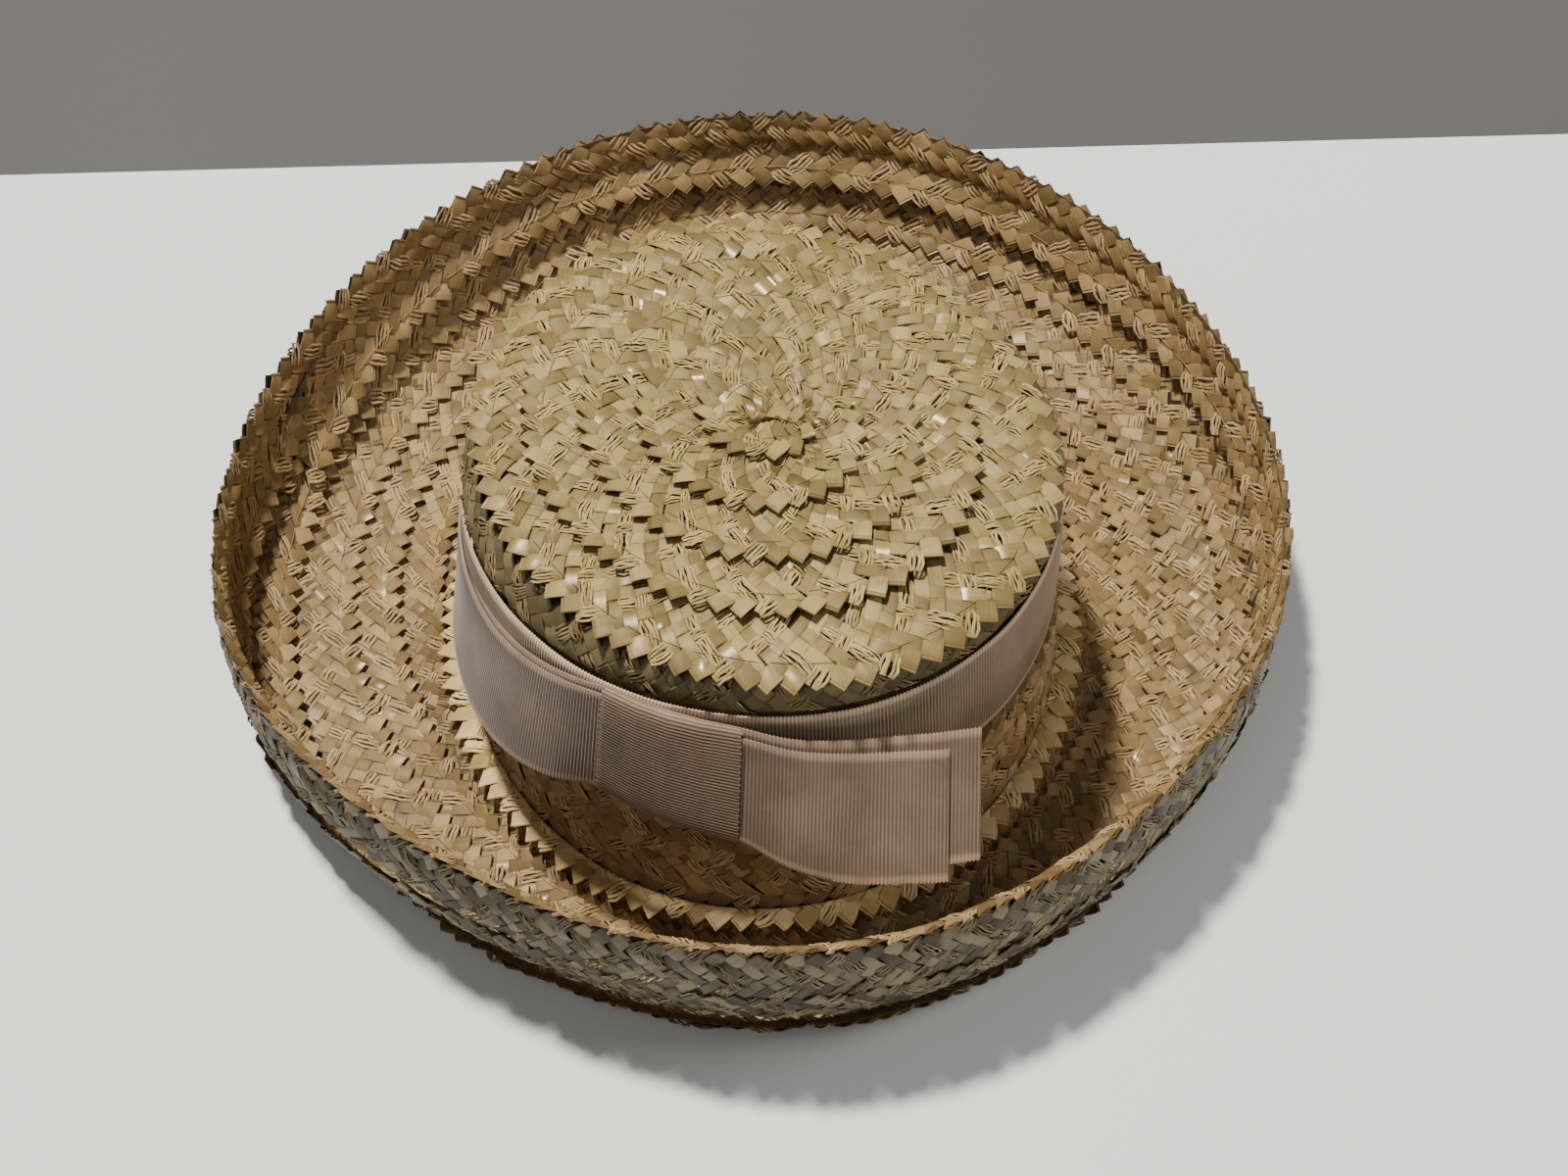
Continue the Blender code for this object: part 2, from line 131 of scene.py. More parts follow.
# Width of the bow ribbon, drawn in by the knot: angle, share
BOW_PINCH = (
    (-181.0, 1.00), (-140.0, 1.00), (-126.0, 0.97), (-117.7, 0.93), (-105.0, 0.90), (-93.3, 0.86), (-84.0, 0.91),
    (-74.0, 0.95), (-60.8, 0.95),
)
KNOT_FROM = -117.7
KNOT_TO = -93.3
KNOT_OVER = 0.0013

# Lift of the loose base row: angle, share
BASE_LIFTS = (
    (-180.0, 0.06), (-150.0, 0.10), (-132.0, 0.55), (-118.0, 0.10), (-104.0, 0.85), (-90.0, 1.00), (-76.0, 0.30),
    (-60.0, 0.20), (-44.0, 0.75), (-32.0, 1.00), (-15.0, 0.45), (10.0, 0.10), (60.0, 0.20), (120.0, 0.06), (180.0, 0.06),
)
BASE_ROW_LIFT = 0.0048
BASE_ROW_OUT = 0.0068

# Rows on the crown side: height of the points, corners round the row
SIDE_ROWS = (
    (0.0095, 91),
    (0.0280, 91),
    (0.0465, 84),
    (0.0660, 84),
    (0.0850, 84),
)

# Two of the seven ends are bundles of fibre, the others are flat straws
FIBRE_ENDS = (0, 3)


def smooth(table, x):
    """Rows read by a Catmull-Rom curve: the first column is the key, the others come back."""
    rows = np.asarray(table, float)
    keys = rows[:, 0]
    vals = rows[:, 1:]
    x = np.clip(np.asarray(x, float), keys[0], keys[-1])
    k = np.clip(np.searchsorted(keys, x, side="right") - 1, 0, len(keys) - 2)
    h = (keys[k + 1] - keys[k])[..., None]
    f = (x - keys[k])[..., None] / h
    slope = np.gradient(vals, keys, axis=0)
    m0 = slope[k] * h
    m1 = slope[k + 1] * h
    f2 = f * f
    f3 = f2 * f
    return (2 * f3 - 3 * f2 + 1) * vals[k] + (f3 - 2 * f2 + f) * m0 + (3 * f2 - 2 * f3) * vals[k + 1] + (f3 - f2) * m1


def ease(x):
    """Smooth step: 3x^2 - 2x^3 between 0 and 1."""
    x = np.clip(x, 0.0, 1.0)
    return x * x * (3.0 - 2.0 * x)


def waves(table, a):
    """Sum of cosine and sine waves round the crown."""
    total = np.zeros_like(a)
    for order, cosine, sine in table:
        total = total + cosine * np.cos(order * a) + sine * np.sin(order * a)
    return total


def oval(a, half_width, half_length):
    """Radius of an oval by angle: 1 / sqrt((cos a / width)^2 + (sin a / length)^2)."""
    return 1.0 / np.sqrt((np.cos(a) / half_width) ** 2 + (np.sin(a) / half_length) ** 2)


def tip_radius(a):
    """Outer edge of the tip."""
    return TIP_HALF * (1.0 + waves(TIP_WAVES, a))


def base_radius(a):
    """Foot of the crown side."""
    return oval(a, BASE_HALF_WIDTH, BASE_HALF_LENGTH) + 0.015 * BASE_HALF_WIDTH * np.cos(a + math.radians(150))


def rim_radius(a):
    """Rim of the brim, set back from the crown axis."""
    return RIM_HALF * (1.0 + waves(RIM_WAVES, a)) + RIM_BACK_SHIFT * np.sin(a)


def side_radius(a, z):
    """Crown side: a blend of base, band and tip outline by height."""
    part = smooth(SIDE_PROFILE, (z - SIDE_FOOT) / (SIDE_TOP - SIDE_FOOT))
    band = oval(a, BAND_HALF_WIDTH, BAND_HALF_LENGTH)
    top = tip_radius(a) - 0.03 * TIP_HALF
    return part[..., 0] * base_radius(a) + part[..., 1] * band + part[..., 2] * top


def at(r, a, z):
    """Point at radius, angle and height round the crown axis."""
    return np.stack([AXIS_X + r * np.cos(a), AXIS_Y + r * np.sin(a), z], axis=-1)


def side_face(a, z, off):
    """Point off metres out from the crown side, along the normal of its profile."""
    step = 0.0005
    slope = (side_radius(a, z + step) - side_radius(a, z - step)) / (2 * step)
    long = np.sqrt(1.0 + slope * slope)
    return at(side_radius(a, z) + off / long, a, z - off * slope / long)


def tip_face(a, rho, off):
    """Point of the tip at rho on a disc of TIP_HALF, stretched to the tip's outline, off metres up."""
    share = rho / TIP_HALF
    edge = 0.0012 * ease((share - 0.90) / 0.12)
    return at(tip_radius(a) * share, a, TIP_HEIGHT + TIP_DOME * (1.0 - share * share) - edge + off)


BRIM_ANGLES = 720
BRIM_STEPS = 240


def brim_table():
    """Under face of the brim on a grid of angle and share of its length: radius, height and tangent."""
    a = np.linspace(0.0, 2.0 * math.pi, BRIM_ANGLES + 1)
    front = (1.0 - np.sin(a)) / 2.0
    front = (front * front * (3.0 - 2.0 * front))[:, None]
    keyed = [(k,) + row for k, row in enumerate(BRIM_PROFILE)]
    p = smooth(keyed, np.linspace(0.0, len(BRIM_PROFILE) - 1.0, 301))
    out = p[None, :, 0] * front + p[None, :, 2] * (1.0 - front)
    high = p[None, :, 1] * front + p[None, :, 3] * (1.0 - front)
    foot = base_radius(a)[:, None] + 0.00085
    r = foot + (rim_radius(a)[:, None] - foot) * out
    z = np.maximum(high, 0.0) * RIM_HEIGHT * (1.0 + waves(RIM_LIFTS, a))[:, None]
    run = np.zeros_like(r)
    run[:, 1:] = np.cumsum(np.hypot(np.diff(r, axis=1), np.diff(z, axis=1)), axis=1)
    share = np.linspace(0.0, 1.0, BRIM_STEPS + 1)
    rows = [(np.interp(share * w[-1], w, rr), np.interp(share * w[-1], w, zz)) for w, rr, zz in zip(run, r, z)]
    grid = np.array(rows)
    kernel = np.ones(9) / 9.0
    grid_pad = np.pad(grid, ((0, 0), (0, 0), (4, 4)), mode="edge")
    soft = sum(kernel[k] * grid_pad[:, :, k:k + BRIM_STEPS + 1] for k in range(9))
    tangent = np.gradient(soft, axis=2)
    tangent = tangent / np.linalg.norm(tangent, axis=1, keepdims=True)
    return np.concatenate([grid, tangent], axis=1), run[:, -1]


BRIM_GRID, BRIM_LENGTH = brim_table()


def brim_face(a, share, off):
    """Point of the brim at an angle and a share of its length, off metres above its under face."""
    fa = (a / (2.0 * math.pi)) % 1.0 * BRIM_ANGLES
    ia = np.minimum(fa.astype(int), BRIM_ANGLES - 1)
    fa = fa - ia
    fs = np.clip(share, 0.0, 1.0) * BRIM_STEPS
    js = np.minimum(fs.astype(int), BRIM_STEPS - 1)
    fs = fs - js
    got = []
    for part in range(4):
        g = BRIM_GRID[:, part, :]
        low = g[ia, js] * (1 - fs) + g[ia, js + 1] * fs
        high = g[ia + 1, js] * (1 - fs) + g[ia + 1, js + 1] * fs
        got.append(low * (1 - fa) + high * fa)
    r, z, tr, tz = got
    length = BRIM_LENGTH[ia] * (1 - fa) + BRIM_LENGTH[ia + 1] * fa
    past = (share - np.clip(share, 0.0, 1.0)) * length
    return at(r - tz * off + tr * past, a, z + tr * off + tz * past)


# ---- meshes ----


def build(name, points, loops, starts, totals, attributes, material, sharp=None):
    """Mesh from whole arrays: points, corner indices, face starts and sizes, and point attributes."""
    mesh = bpy.data.meshes.new(name)
    mesh.vertices.add(len(points))
    mesh.vertices.foreach_set("co", np.ascontiguousarray(points, np.float32).ravel())
    mesh.loops.add(len(loops))
    mesh.loops.foreach_set("vertex_index", loops.astype(np.int32))
    mesh.polygons.add(len(starts))
    mesh.polygons.foreach_set("loop_start", starts.astype(np.int32))
    mesh.polygons.foreach_set("loop_total", totals.astype(np.int32))
    mesh.polygons.foreach_set("use_smooth", np.ones(len(starts), bool))
    for key, kind, values in attributes:
        layer = mesh.attributes.new(key, kind, "POINT")
        field = "value" if kind == "FLOAT" else "vector"
        layer.data.foreach_set(field, np.ascontiguousarray(values, np.float32).ravel())
    mesh.update(calc_edges=True)
    mesh.validate()
    if sharp is not None:
        mesh.set_sharp_from_angle(angle=math.radians(sharp))
    mesh.materials.append(material)
    obj = bpy.data.objects.new(name, mesh)
    bpy.context.scene.collection.objects.link(obj)
    return obj


def tubes(grid):
    """Faces of many closed tubes: grid is (tube, station, point of the section); both ends are capped."""
    n, k, j = grid
    idx = np.arange(n * k * j).reshape(n, k, j)
    nxt = np.roll(idx, -1, axis=2)
    quads = np.stack([idx[:, :-1], idx[:, 1:], nxt[:, 1:], nxt[:, :-1]], axis=-1).reshape(-1)
    caps = np.concatenate([idx[:, 0, :].reshape(-1), idx[:, -1, ::-1].reshape(-1)])
    count = n * (k - 1) * j
    loops = np.concatenate([quads, caps])
    starts = np.concatenate([np.arange(count) * 4, count * 4 + np.arange(2 * n) * j])
    totals = np.concatenate([np.full(count, 4), np.full(2 * n, j)])
    return loops, starts, totals


def rings(n, j, closed):
    """Faces of one band swept n stations with a closed section of j points; closed joins its ends."""
    idx = np.arange(n * j).reshape(n, j)
    if closed:
        idx = np.concatenate([idx, idx[:1]], axis=0)
    nxt = np.roll(idx, -1, axis=1)
    quads = np.stack([idx[:-1], idx[1:], nxt[1:], nxt[:-1]], axis=-1).reshape(-1)
    count = (len(idx) - 1) * j
    loops = quads
    starts = np.arange(count) * 4
    totals = np.full(count, 4)
    if not closed:
        loops = np.concatenate([loops, idx[0], idx[-1][::-1]])
        starts = np.concatenate([starts, [count * 4, count * 4 + j]])
        totals = np.concatenate([totals, [j, j]])
    return loops, starts, totals


def outward(points, loops, starts, totals):
    """Turns all faces round if the body's signed volume is negative."""
    tri = totals >= 3
    p0 = points[loops[starts[tri]]]
    p1 = points[loops[starts[tri] + 1]]
    p2 = points[loops[starts[tri] + 2]]
    p3 = points[loops[starts[tri] + np.minimum(3, totals[tri] - 1)]]
    centre = points.mean(axis=0)
    volume = np.einsum("ij,ij->i", p0 - centre, np.cross(p1 - centre, p2 - centre)).sum()
    volume += np.einsum("ij,ij->i", p0 - centre, np.cross(p2 - centre, p3 - centre)).sum()
    if volume >= 0:
        return loops
    turned = loops.copy()
    for size in np.unique(totals):
        pick = starts[totals == size][:, None] + np.arange(size)
        turned[pick] = loops[pick[:, ::-1]]
    return turned


# ---- the plait ----

# Stretches of straw that show on one face, as (level, share of the rise) along each.
# A falling arm ends over the corner, a climbing arm starts below it.
CORNER_SQUARE = (-1.0, (
    (-0.55, -0.95), (-0.66, -0.1), (-0.62, 0.60), (-0.50, 0.35), (-0.42, 1.10), (0.05, 1.75), (0.68, 1.30), (1.10, -0.9)))
LONG_FLOAT = (1.0, ((0.25, -1.1), (0.80, 0.5), (1.20, 1.05), (1.9, 1.1), (2.4, 0.5), (2.8, -0.8)))
SHORT_FALL = (-1.0, ((2.2, -0.8), (2.6, 0.5), (3.0, 1.1), (3.4, 0.5), (3.8, -0.8)))
SHORT_CLIMB = (1.0, ((3.2, -0.8), (3.6, 0.5), (4.0, 1.1), (4.4, 0.5), (4.8, -0.8)))
LONG_FALL = (-1.0, ((4.2, -0.8), (4.6, 0.5), (5.15, 1.1), (5.85, 1.1), (6.4, 0.5), (6.8, -0.8)))
HALF_FACE = (CORNER_SQUARE, LONG_FLOAT, SHORT_FALL, SHORT_CLIMB)
FULL_FACE = HALF_FACE + (LONG_FALL,)
CORNERS_ONLY = (CORNER_SQUARE, LONG_FLOAT)

STRAW_SECTION = np.array([(-0.5, -0.4), (-0.44, 0.8), (0.44, 0.8), (0.5, -0.4), (0.0, -1.2)])
STRING_SECTION = np.array([(0.0, 0.8), (0.95, -0.3), (-0.95, -0.3)])


def floats(row_face, corners, strips, under, shown, rng, strings):
    """All the flat straws, or all the strings of the fibre bundles, that show on one face of a row.

    strings is the number of strings in a fibre bundle, or 0 for the flat straws.

    An arm through corner m runs at corner = m + level / 2 when it climbs and
    m - level / 2 when it falls.  The under face is the same plait turned half
    round: corner, level and height become 3.5 - corner, 7 - level, - height.
    shown(corner, level) says which stretches the neighbouring rows leave in
    sight.  Returns points, their lay in millimetres and their tone, a set a strip;
    the tone carries painted shade where an arm dips under its neighbour.
    """
    fibre = strings > 0
    every = np.arange(corners)
    ends = np.isin((-every if under else every) % 7, FIBRE_ENDS)
    own_ends = (every[ends] if fibre else every[~ends]).astype(float)
    got = []
    for turn, stations in strips:
        keys = np.array(stations)
        mid = (keys[0, 0] + keys[-1, 0]) / 2.0
        mid_cor = own_ends + turn * mid / 2.0
        m = own_ends[shown(3.5 - mid_cor, 7.0 - mid)] if under else own_ends[shown(mid_cor, mid)]
        n = len(m)
        if n == 0:
            continue
        strand = np.sin(m * 2.3 + 5.0 * np.floor(m / 21.0)) * 0.5 + 0.5
        if fibre:
            levels = np.linspace(keys[0, 0], keys[-1, 0], int((keys[-1, 0] - keys[0, 0]) / 0.42) + 2)
            if stations is CORNER_SQUARE[1]:
                levels = np.concatenate([[-0.50, -0.60], levels[1:]])
                share = np.concatenate([[-1.2, -0.2], np.interp(levels[2:], keys[2:, 0], keys[2:, 1])])
            else:
                share = np.interp(levels, keys[:, 0], keys[:, 1])
            count = strings
            centre = np.linspace(-0.42, 0.42, strings)[None, :, None] + rng.normal(0, 0.03, (n, count, 1))
            swell = 0.66 + 0.44 * ease((share + 0.8) / 1.8)
            section = STRING_SECTION
        else:
            levels = keys[:, 0]
            share = keys[:, 1]
            count = 1
            centre = np.zeros((n, 1, 1))
            swell = np.ones(len(levels))
            section = STRAW_SECTION
        k = len(levels)
        j = len(section)
        along = levels * PITCH / math.sqrt(2.0)
        phase = rng.uniform(0, 6.3, (n, count, 1))
        drift = rng.normal(0.0, 1.0, (n, 1, 1))
        square = stations is CORNER_SQUARE[1]
        width = STRAW_WIDTH * rng.uniform(0.97, 1.09, (n, 1, 1)) * (SQUARE_WIDTH if square and not fibre else 1.0)
        middle = (levels - levels[0]) / (levels[-1] - levels[0])
        skew = 0.00045 * drift * (middle - 0.4)
        if fibre:
            line = centre * width * swell + 0.00020 * np.sin(along * 900.0 + phase) + skew
            line = line + 0.00009 * np.sin(along * 2400.0 + 2.1 * phase)
            reach = 0.0020 / strings * section[:, 0]
            across = line[..., None] + reach
            thick = 0.00032 * section[:, 1] + (0.00018 * np.sin(along * 1900.0 + 1.7 * phase) + 0.00012)[..., None]
            thick = thick + (0.00020 * (1.0 - (2.0 * centre) ** 2))[..., None]
        else:
            across = np.broadcast_to((width * section[:, 0])[:, :, None, :] + skew[..., None], (n, 1, k, j))
            crown = rng.uniform(0.5, 1.7, (n, 1, 1, 1))
            thick = STRAW_THICK * section[:, 1] * np.where(section[:, 1] > -1.0, crown, 1.0)
            thick = thick - np.abs(section[:, 0]) * 0.00012 * np.abs(drift[..., None])
        roll = (rng.normal(0.0, 0.060, (n, 1, 1, 1)) - (SQUARE_ROLL if square else 0.0)) * across
        pitch = rng.normal(0.0, 0.00013, (n, 1, 1)) * (2.0 * middle - 1.0)
        curl = np.zeros((1, 1, 1))
        if square:
            curl = (rng.uniform(-0.15, 1.0, (n, 1, 1)) ** 3) * 0.0011 * np.exp(-(levels + 0.5) / 0.5)
        height = (WEAVE_RISE * share + pitch + curl)[..., None] + thick + roll
        shift = rng.normal(0.0, 0.040, (n, 1, 1, 1))
        lev = levels[:, None] + across * math.sqrt(2.0) / PITCH
        cor = m[:, None, None, None] + shift + turn * (levels[:, None] / 2.0 - across / (math.sqrt(2.0) * PITCH))
        if under:
            cor, lev, height = 3.5 - cor, 7.0 - lev, -height
        cor, lev, height = np.broadcast_arrays(cor, lev, height)
        points = row_face(cor, lev, height)
        shape = (n * count, k, j)
        lay = np.stack(np.broadcast_arrays(
            along[:, None] * 1000.0, across * 1000.0, rng.uniform(0, 50, (n, count, 1, 1))), axis=-1)
        own = rng.uniform(0, 1, (n, count, 1, 1)) * (0.9 if fibre else 0.6)
        # Painted shade: an arm is darker where it dips under its neighbour (low share of the rise).
        dip_shade = (0.35 if fibre else 0.6) * np.clip(0.5 - share, 0.0, 1.2)[:, None]
        tone = np.broadcast_to(own + (0.1 if fibre else 0.4) * strand[:, None, None, None] - dip_shade, (n, count, k, j))
        got.append((points.reshape(shape + (3,)), lay.reshape(shape + (3,)), tone.reshape(shape)))
    return got


def plait(name, rows, material_straw, material_fibre, seed, strings=5):
    """Straws and fibre bundles of several rows as two meshes.

    A row is (its function, corners, strips, under face or not, what shows).
    """
    made = []
    for fibre, material in ((0, material_straw), (strings, material_fibre)):
        rng = np.random.default_rng(seed + fibre)
        parts = []
        loops = []
        starts = []
        totals = []
        base = 0
        loop_base = 0
        for row_face, corners, strips, under, shown in rows:
            for points, lay, tone in floats(row_face, corners, strips, under, shown, rng, fibre):
                lo, st, to = tubes(points.shape[:3])
                lo = turned_out(points, lo, st, to)
                loops.append(lo + base)
                starts.append(st + loop_base)
                totals.append(to)
                parts.append((points.reshape(-1, 3), lay.reshape(-1, 3), tone.reshape(-1)))
                base += points.shape[0] * points.shape[1] * points.shape[2]
                loop_base += len(lo)
        points, lay, tone = (np.concatenate([p[i] for p in parts]) for i in range(3))
        loops, starts, totals = np.concatenate(loops), np.concatenate(starts), np.concatenate(totals)
        made.append(build(
            name + ("_fibres" if fibre else "_straws"), points, loops, starts, totals,
            [("lay", "FLOAT_VECTOR", lay), ("tone", "FLOAT", tone)], material, sharp=100 if fibre else 30))
    return made


def turned_out(points, loops, starts, totals):
    """Faces of a set of tubes, turned to face outward; all tubes of a set have the same hand."""
    return outward(points.reshape(-1, 3), loops, starts, totals)


def all_shown(corner, level):
    """Nothing is hidden."""
    return np.full(np.shape(corner), True)


def wobble(a, seed, size):
    """Slow unevenness round a row: a few sine waves of fixed random phase."""
    rng = np.random.default_rng(seed)
    total = np.zeros_like(a)
    for order in (2, 3, 5, 8, 13, 21):
        total = total + rng.uniform(0.4, 1.0) * np.sin(order * a + rng.uniform(0, 6.3)) / math.sqrt(order)
    return size * total * 0.5


def tilt(level, size=ROW_TILT):
    """A row leans: its points stand above the next row and its other edge lies below the row before."""
    return size * (1.0 - 2.0 * (level + 1.0) / 9.0)


# ---- tip: a spiral that starts at the centre, on a closed outer ring ----

TIP_START = 0.0050
RIM_TOOTH = 0.0058
RIM_TOOTH_BACK = -0.0006
RIM_BEND = 0.0082
TIP_SEAM = 0.0036
TIP_DROP = 0.0015
TIP_SPACE = 0.0163
TIP_TURNS = 4.36
TIP_PHASE = math.radians(-90) + 2 * math.pi * 0.613


def spiral_table():
    """Angle turned as a function of the corner count: the edge advances one pitch for each corner."""
    turned = np.linspace(0.0, 2 * math.pi * TIP_TURNS, 4000)
    edge = TIP_START + TIP_SPACE * turned / (2 * math.pi)
    count = np.concatenate([[0.0], np.cumsum((edge[1:] + edge[:-1]) / 2 * np.diff(turned))]) / PITCH
    return count, turned


SPIRAL_COUNT, SPIRAL_TURNED = spiral_table()
SPIRAL_CORNERS = int(SPIRAL_COUNT[-1]) - 1


def spiral_face(corner, level, height):
    """Spiral row of the tip; its last stretch sinks into the ring below.

    The plait starts folded on itself, so the circles of the spiral become
    ellipses that close on a short seam: x = (rho + c^2 / rho) cos a and
    y = (rho - c^2 / rho) sin a, moved along x near the start.
    """
    slope = PITCH / (TIP_START + TIP_SPACE * TIP_TURNS)
    turned = np.interp(corner, SPIRAL_COUNT, SPIRAL_TURNED)
    turned = turned + np.maximum(corner - SPIRAL_COUNT[-1], 0.0) * slope + np.minimum(corner, 0.0) * 0.6
    past = np.maximum(turned - 4.0 * 2 * math.pi, 0.0)
    edge = TIP_START + TIP_SPACE * np.clip(turned - 0.45 * past, 0.0, None) / (2 * math.pi)
    a = TIP_PHASE - turned
    uneven = wobble(turned * 0.7, 5, 0.0005)
    rho = np.maximum(edge + uneven - (level + 1.0) * PITCH / 2.0, 1.02 * TIP_SEAM)
    x = (rho + TIP_SEAM ** 2 / rho) * np.cos(a) + TIP_SEAM * np.exp(-(rho / 0.018) ** 2)
    y = (rho - TIP_SEAM ** 2 / rho) * np.sin(a) + 0.0009 * np.sin(x * 520.0) * np.exp(-(rho / 0.010) ** 2)
    rho = np.hypot(x, y)
    a = np.arctan2(y, x)
    end = ease((corner - (SPIRAL_COUNT[-1] - 26.0)) / 26.0)
    off = tilt(level) + height + 0.0010 - 0.0030 * end + wobble(turned * 0.9, 6, 0.0004)
    return tip_face(a, rho, off)


def tip_ring_face(corner, level, height):
    """Outer closed row of the tip."""
    a = -2 * math.pi * corner / 84.0 + 0.4
    rho = TIP_HALF + 0.0012 - (level + 1.0) * PITCH / 2.0 + wobble(a, 7, 0.0005)
    drop = TIP_DROP * ease((2.5 - level) / 3.5)
    return tip_face(a, rho, tilt(level) + height + 0.0006 - drop + wobble(a, 8, 0.0004))


# ---- crown side ----


def band_top(a):
    """Top edge of the ribbon band, higher at the front."""
    return BAND_TOP - BAND_TILT * np.sin(a)


def side_row_face(z_edge, corners, phase):
    """Row of the crown side: points down, each row over the one below."""
    def face(corner, level, height):
        a = -2 * math.pi * (corner / corners) + phase
        z = z_edge + (level + 1.0) * PITCH / 2.0 + wobble(a, int(phase * 100) + 3, 0.0007)
        z = np.minimum(z, SIDE_TOP + 0.0004)
        off = tilt(level) + height + 0.0004
        top = band_top(a)
        under = ease((top + 0.0015 - z) / 0.0015) * ease((z - top + RIBBON_WIDTH + 0.0015) / 0.0015)
        return side_face(a, z, off + (np.minimum(off, 0.0004) - off) * under)
    return face


def clear_of_band(z_edge, corners, phase):
    """Which stretches of a side row do not lie wholly behind the ribbon."""
    def shown(corner, level):
        top = band_top(-2 * math.pi * (corner / corners) + phase)
        z = z_edge + (level + 1.0) * PITCH / 2.0
        return (z > top - 0.004) | (z < top - RIBBON_WIDTH + 0.004)
    return shown


# ---- brim ----

# Rows of the brim: share of its length at the inner points, at the sides and at the front, corners
BRIM_ROWS = (
    (0.046, -0.300, 112),
    (0.212, -0.100, 126),
    (0.345, 0.070, 133),
    (0.470, 0.200, 147),
    (0.610, 0.436, 154),
)
# Last row: an open strip that starts on the left wall; degrees turned from there, share at its inner points
LAST_ROW = (
    (-20.0, 0.570), (0.0, 0.600), (16.0, 0.690), (32.0, 0.732), (70.0, 0.757), (120.0, 0.755), (160.0, 0.750),
    (205.0, 0.715), (250.0, 0.688), (295.0, 0.698), (340.0, 0.722), (400.0, 0.740),
)
LAST_CORNERS = 171
LAST_TURN = 155.0


def length_at(a):
    """Length of the brim from crown to rim at an angle."""
    grid_a = np.linspace(0.0, 2.0 * math.pi, BRIM_ANGLES + 1)
    return np.interp(a % (2.0 * math.pi), grid_a, BRIM_LENGTH)


def row_share(k, a):
    """Share of the brim's length at the inner points of row k; row 5 is the last, open one."""
    if k >= len(BRIM_ROWS):
        return smooth(LAST_ROW, (160.0 - np.degrees(a)) % 360.0)[..., 0]
    front = (1.0 - np.sin(a)) / 2.0
    front = front * front * (3.0 - 2.0 * front)
    return BRIM_ROWS[k][0] + (BRIM_ROWS[k][1] - BRIM_ROWS[k][0]) * front


def row_angle(k, corner):
    """Angle round the crown at a corner of row k."""
    return -2 * math.pi * (corner / BRIM_ROWS[k][2]) + 0.5 + 0.8 * k


def inner_shown(k):
    """Stretches of row k that the next row out leaves in sight on the inner face."""
    def shown(corner, level):
        a = row_angle(k, corner)
        step = PITCH / 2.0 / length_at(a)
        way = row_share(k, a) + (level + 1.0) * step
        return (way < row_share(k + 1, a) + 2.4 * step) & (way > -0.5 * step)
    return shown


def outer_shown(k):
    """Stretches of row k in sight on the outer face: clear of the row before and of the ground."""
    def shown(corner, level):
        a = row_angle(k, corner)
        step = PITCH / 2.0 / length_at(a)
        way = row_share(k, a) + (level + 1.0) * step
        before = row_share(k - 1, a) + 9.0 * step if k else np.zeros_like(a)
        return (way > before - 1.8 * step) & (brim_face(a, np.maximum(way, 0.0), 0.0)[..., 2] > 0.0012)
    return shown


def rim_shown(corner, level):
    """Stretches of the rim's outer plait that the row below leaves in sight."""
    a = -2 * math.pi * (corner - 0.5) / 161.0 + math.radians(160.0)
    step = PITCH / 2.0 / length_at(a)
    way = 0.988 - (8.0 - level) * step
    return way > row_share(len(BRIM_ROWS) - 1, a) + 7.2 * step


def brim_row_face(k):
    """Row of the brim: points towards the crown, each row over the next one in."""
    phase = 0.5 + 0.8 * k

    def face(corner, level, height):
        a = row_angle(k, corner)
        front = (1.0 - np.sin(a)) / 2.0
        way = row_share(k, a) + (level + 1.0) * PITCH / 2.0 / length_at(a) + wobble(a, int(phase * 100) + 1, 0.006)
        free = ease((level - 4.5) / 2.5) * ease((front - 0.4) / 0.4) * (1.0 if k == 3 else 0.0)
        off = 0.0019 + tilt(level, BRIM_TILT) + height + np.maximum(wobble(a, int(phase * 100) + 2, 0.0005), -0.0003)
        return brim_face(a, np.maximum(way, 0.0), off - 0.0016 * free)
    return face


def last_row_face(corner, level, height):
    """Last row of the brim, an open spiral: it starts over the others and ends under its own start."""
    turned = 360.0 * corner / LAST_TURN
    a = np.radians(160.0 - turned)
    share = smooth(LAST_ROW, turned)[..., 0]
    way = share + (level + 1.0) * PITCH / 2.0 / length_at(a) + wobble(a, 91, 0.004)
    ledge = (0.0010 + 0.0010 * ease((60.0 - np.abs(turned - 60.0)) / 40.0)) * ease((3.5 - level) / 3.5)
    lap = 0.0008 * ease((45.0 - turned) / 20.0) - 0.0012 * ease((turned - 348.0) / 15.0)
    off = 0.0022 + tilt(level, BRIM_TILT) + height + ledge + lap + wobble(a, 92, 0.0004)
    return brim_face(a, way, off)


def rim_face(corner, level, height):
    """Second plait on the outer face of the rim: its points stand up at the edge."""
    a = -2 * math.pi * (corner - 0.5) / 161.0 + math.radians(160.0)
    length = length_at(a)
    way = 0.986 - (7.0 - level + 1.0) * PITCH / 2.0 / length + wobble(a, 41, 0.004)
    top = ease((level - 5.0) / 2.5)
    off = -0.0010 + 0.0016 * top + height + 0.0003 * (7.0 - level)
    return brim_face(a, way, np.minimum(off, 0.0022))


def rim_tooth_face(corner, level, height):
    """Points of the last row on the inner face of the rim: they stand over the edge and bend outward."""
    a = -2 * math.pi * (corner + 0.1) / 161.0 + math.radians(160.0)
    length = length_at(a)
    front = ease((0.35 - np.sin(a)) / 1.1)
    over = RIM_TOOTH_BACK + (RIM_TOOTH - RIM_TOOTH_BACK) * front + wobble(a, 43, 0.0006)
    way = 1.0 + (over - (level + 1.0) * PITCH / 2.0) / length
    bend = ease((2.0 - level) / 2.9)
    return brim_face(a, way, 0.0030 + height - RIM_BEND * bend * (0.35 + 0.65 * front))


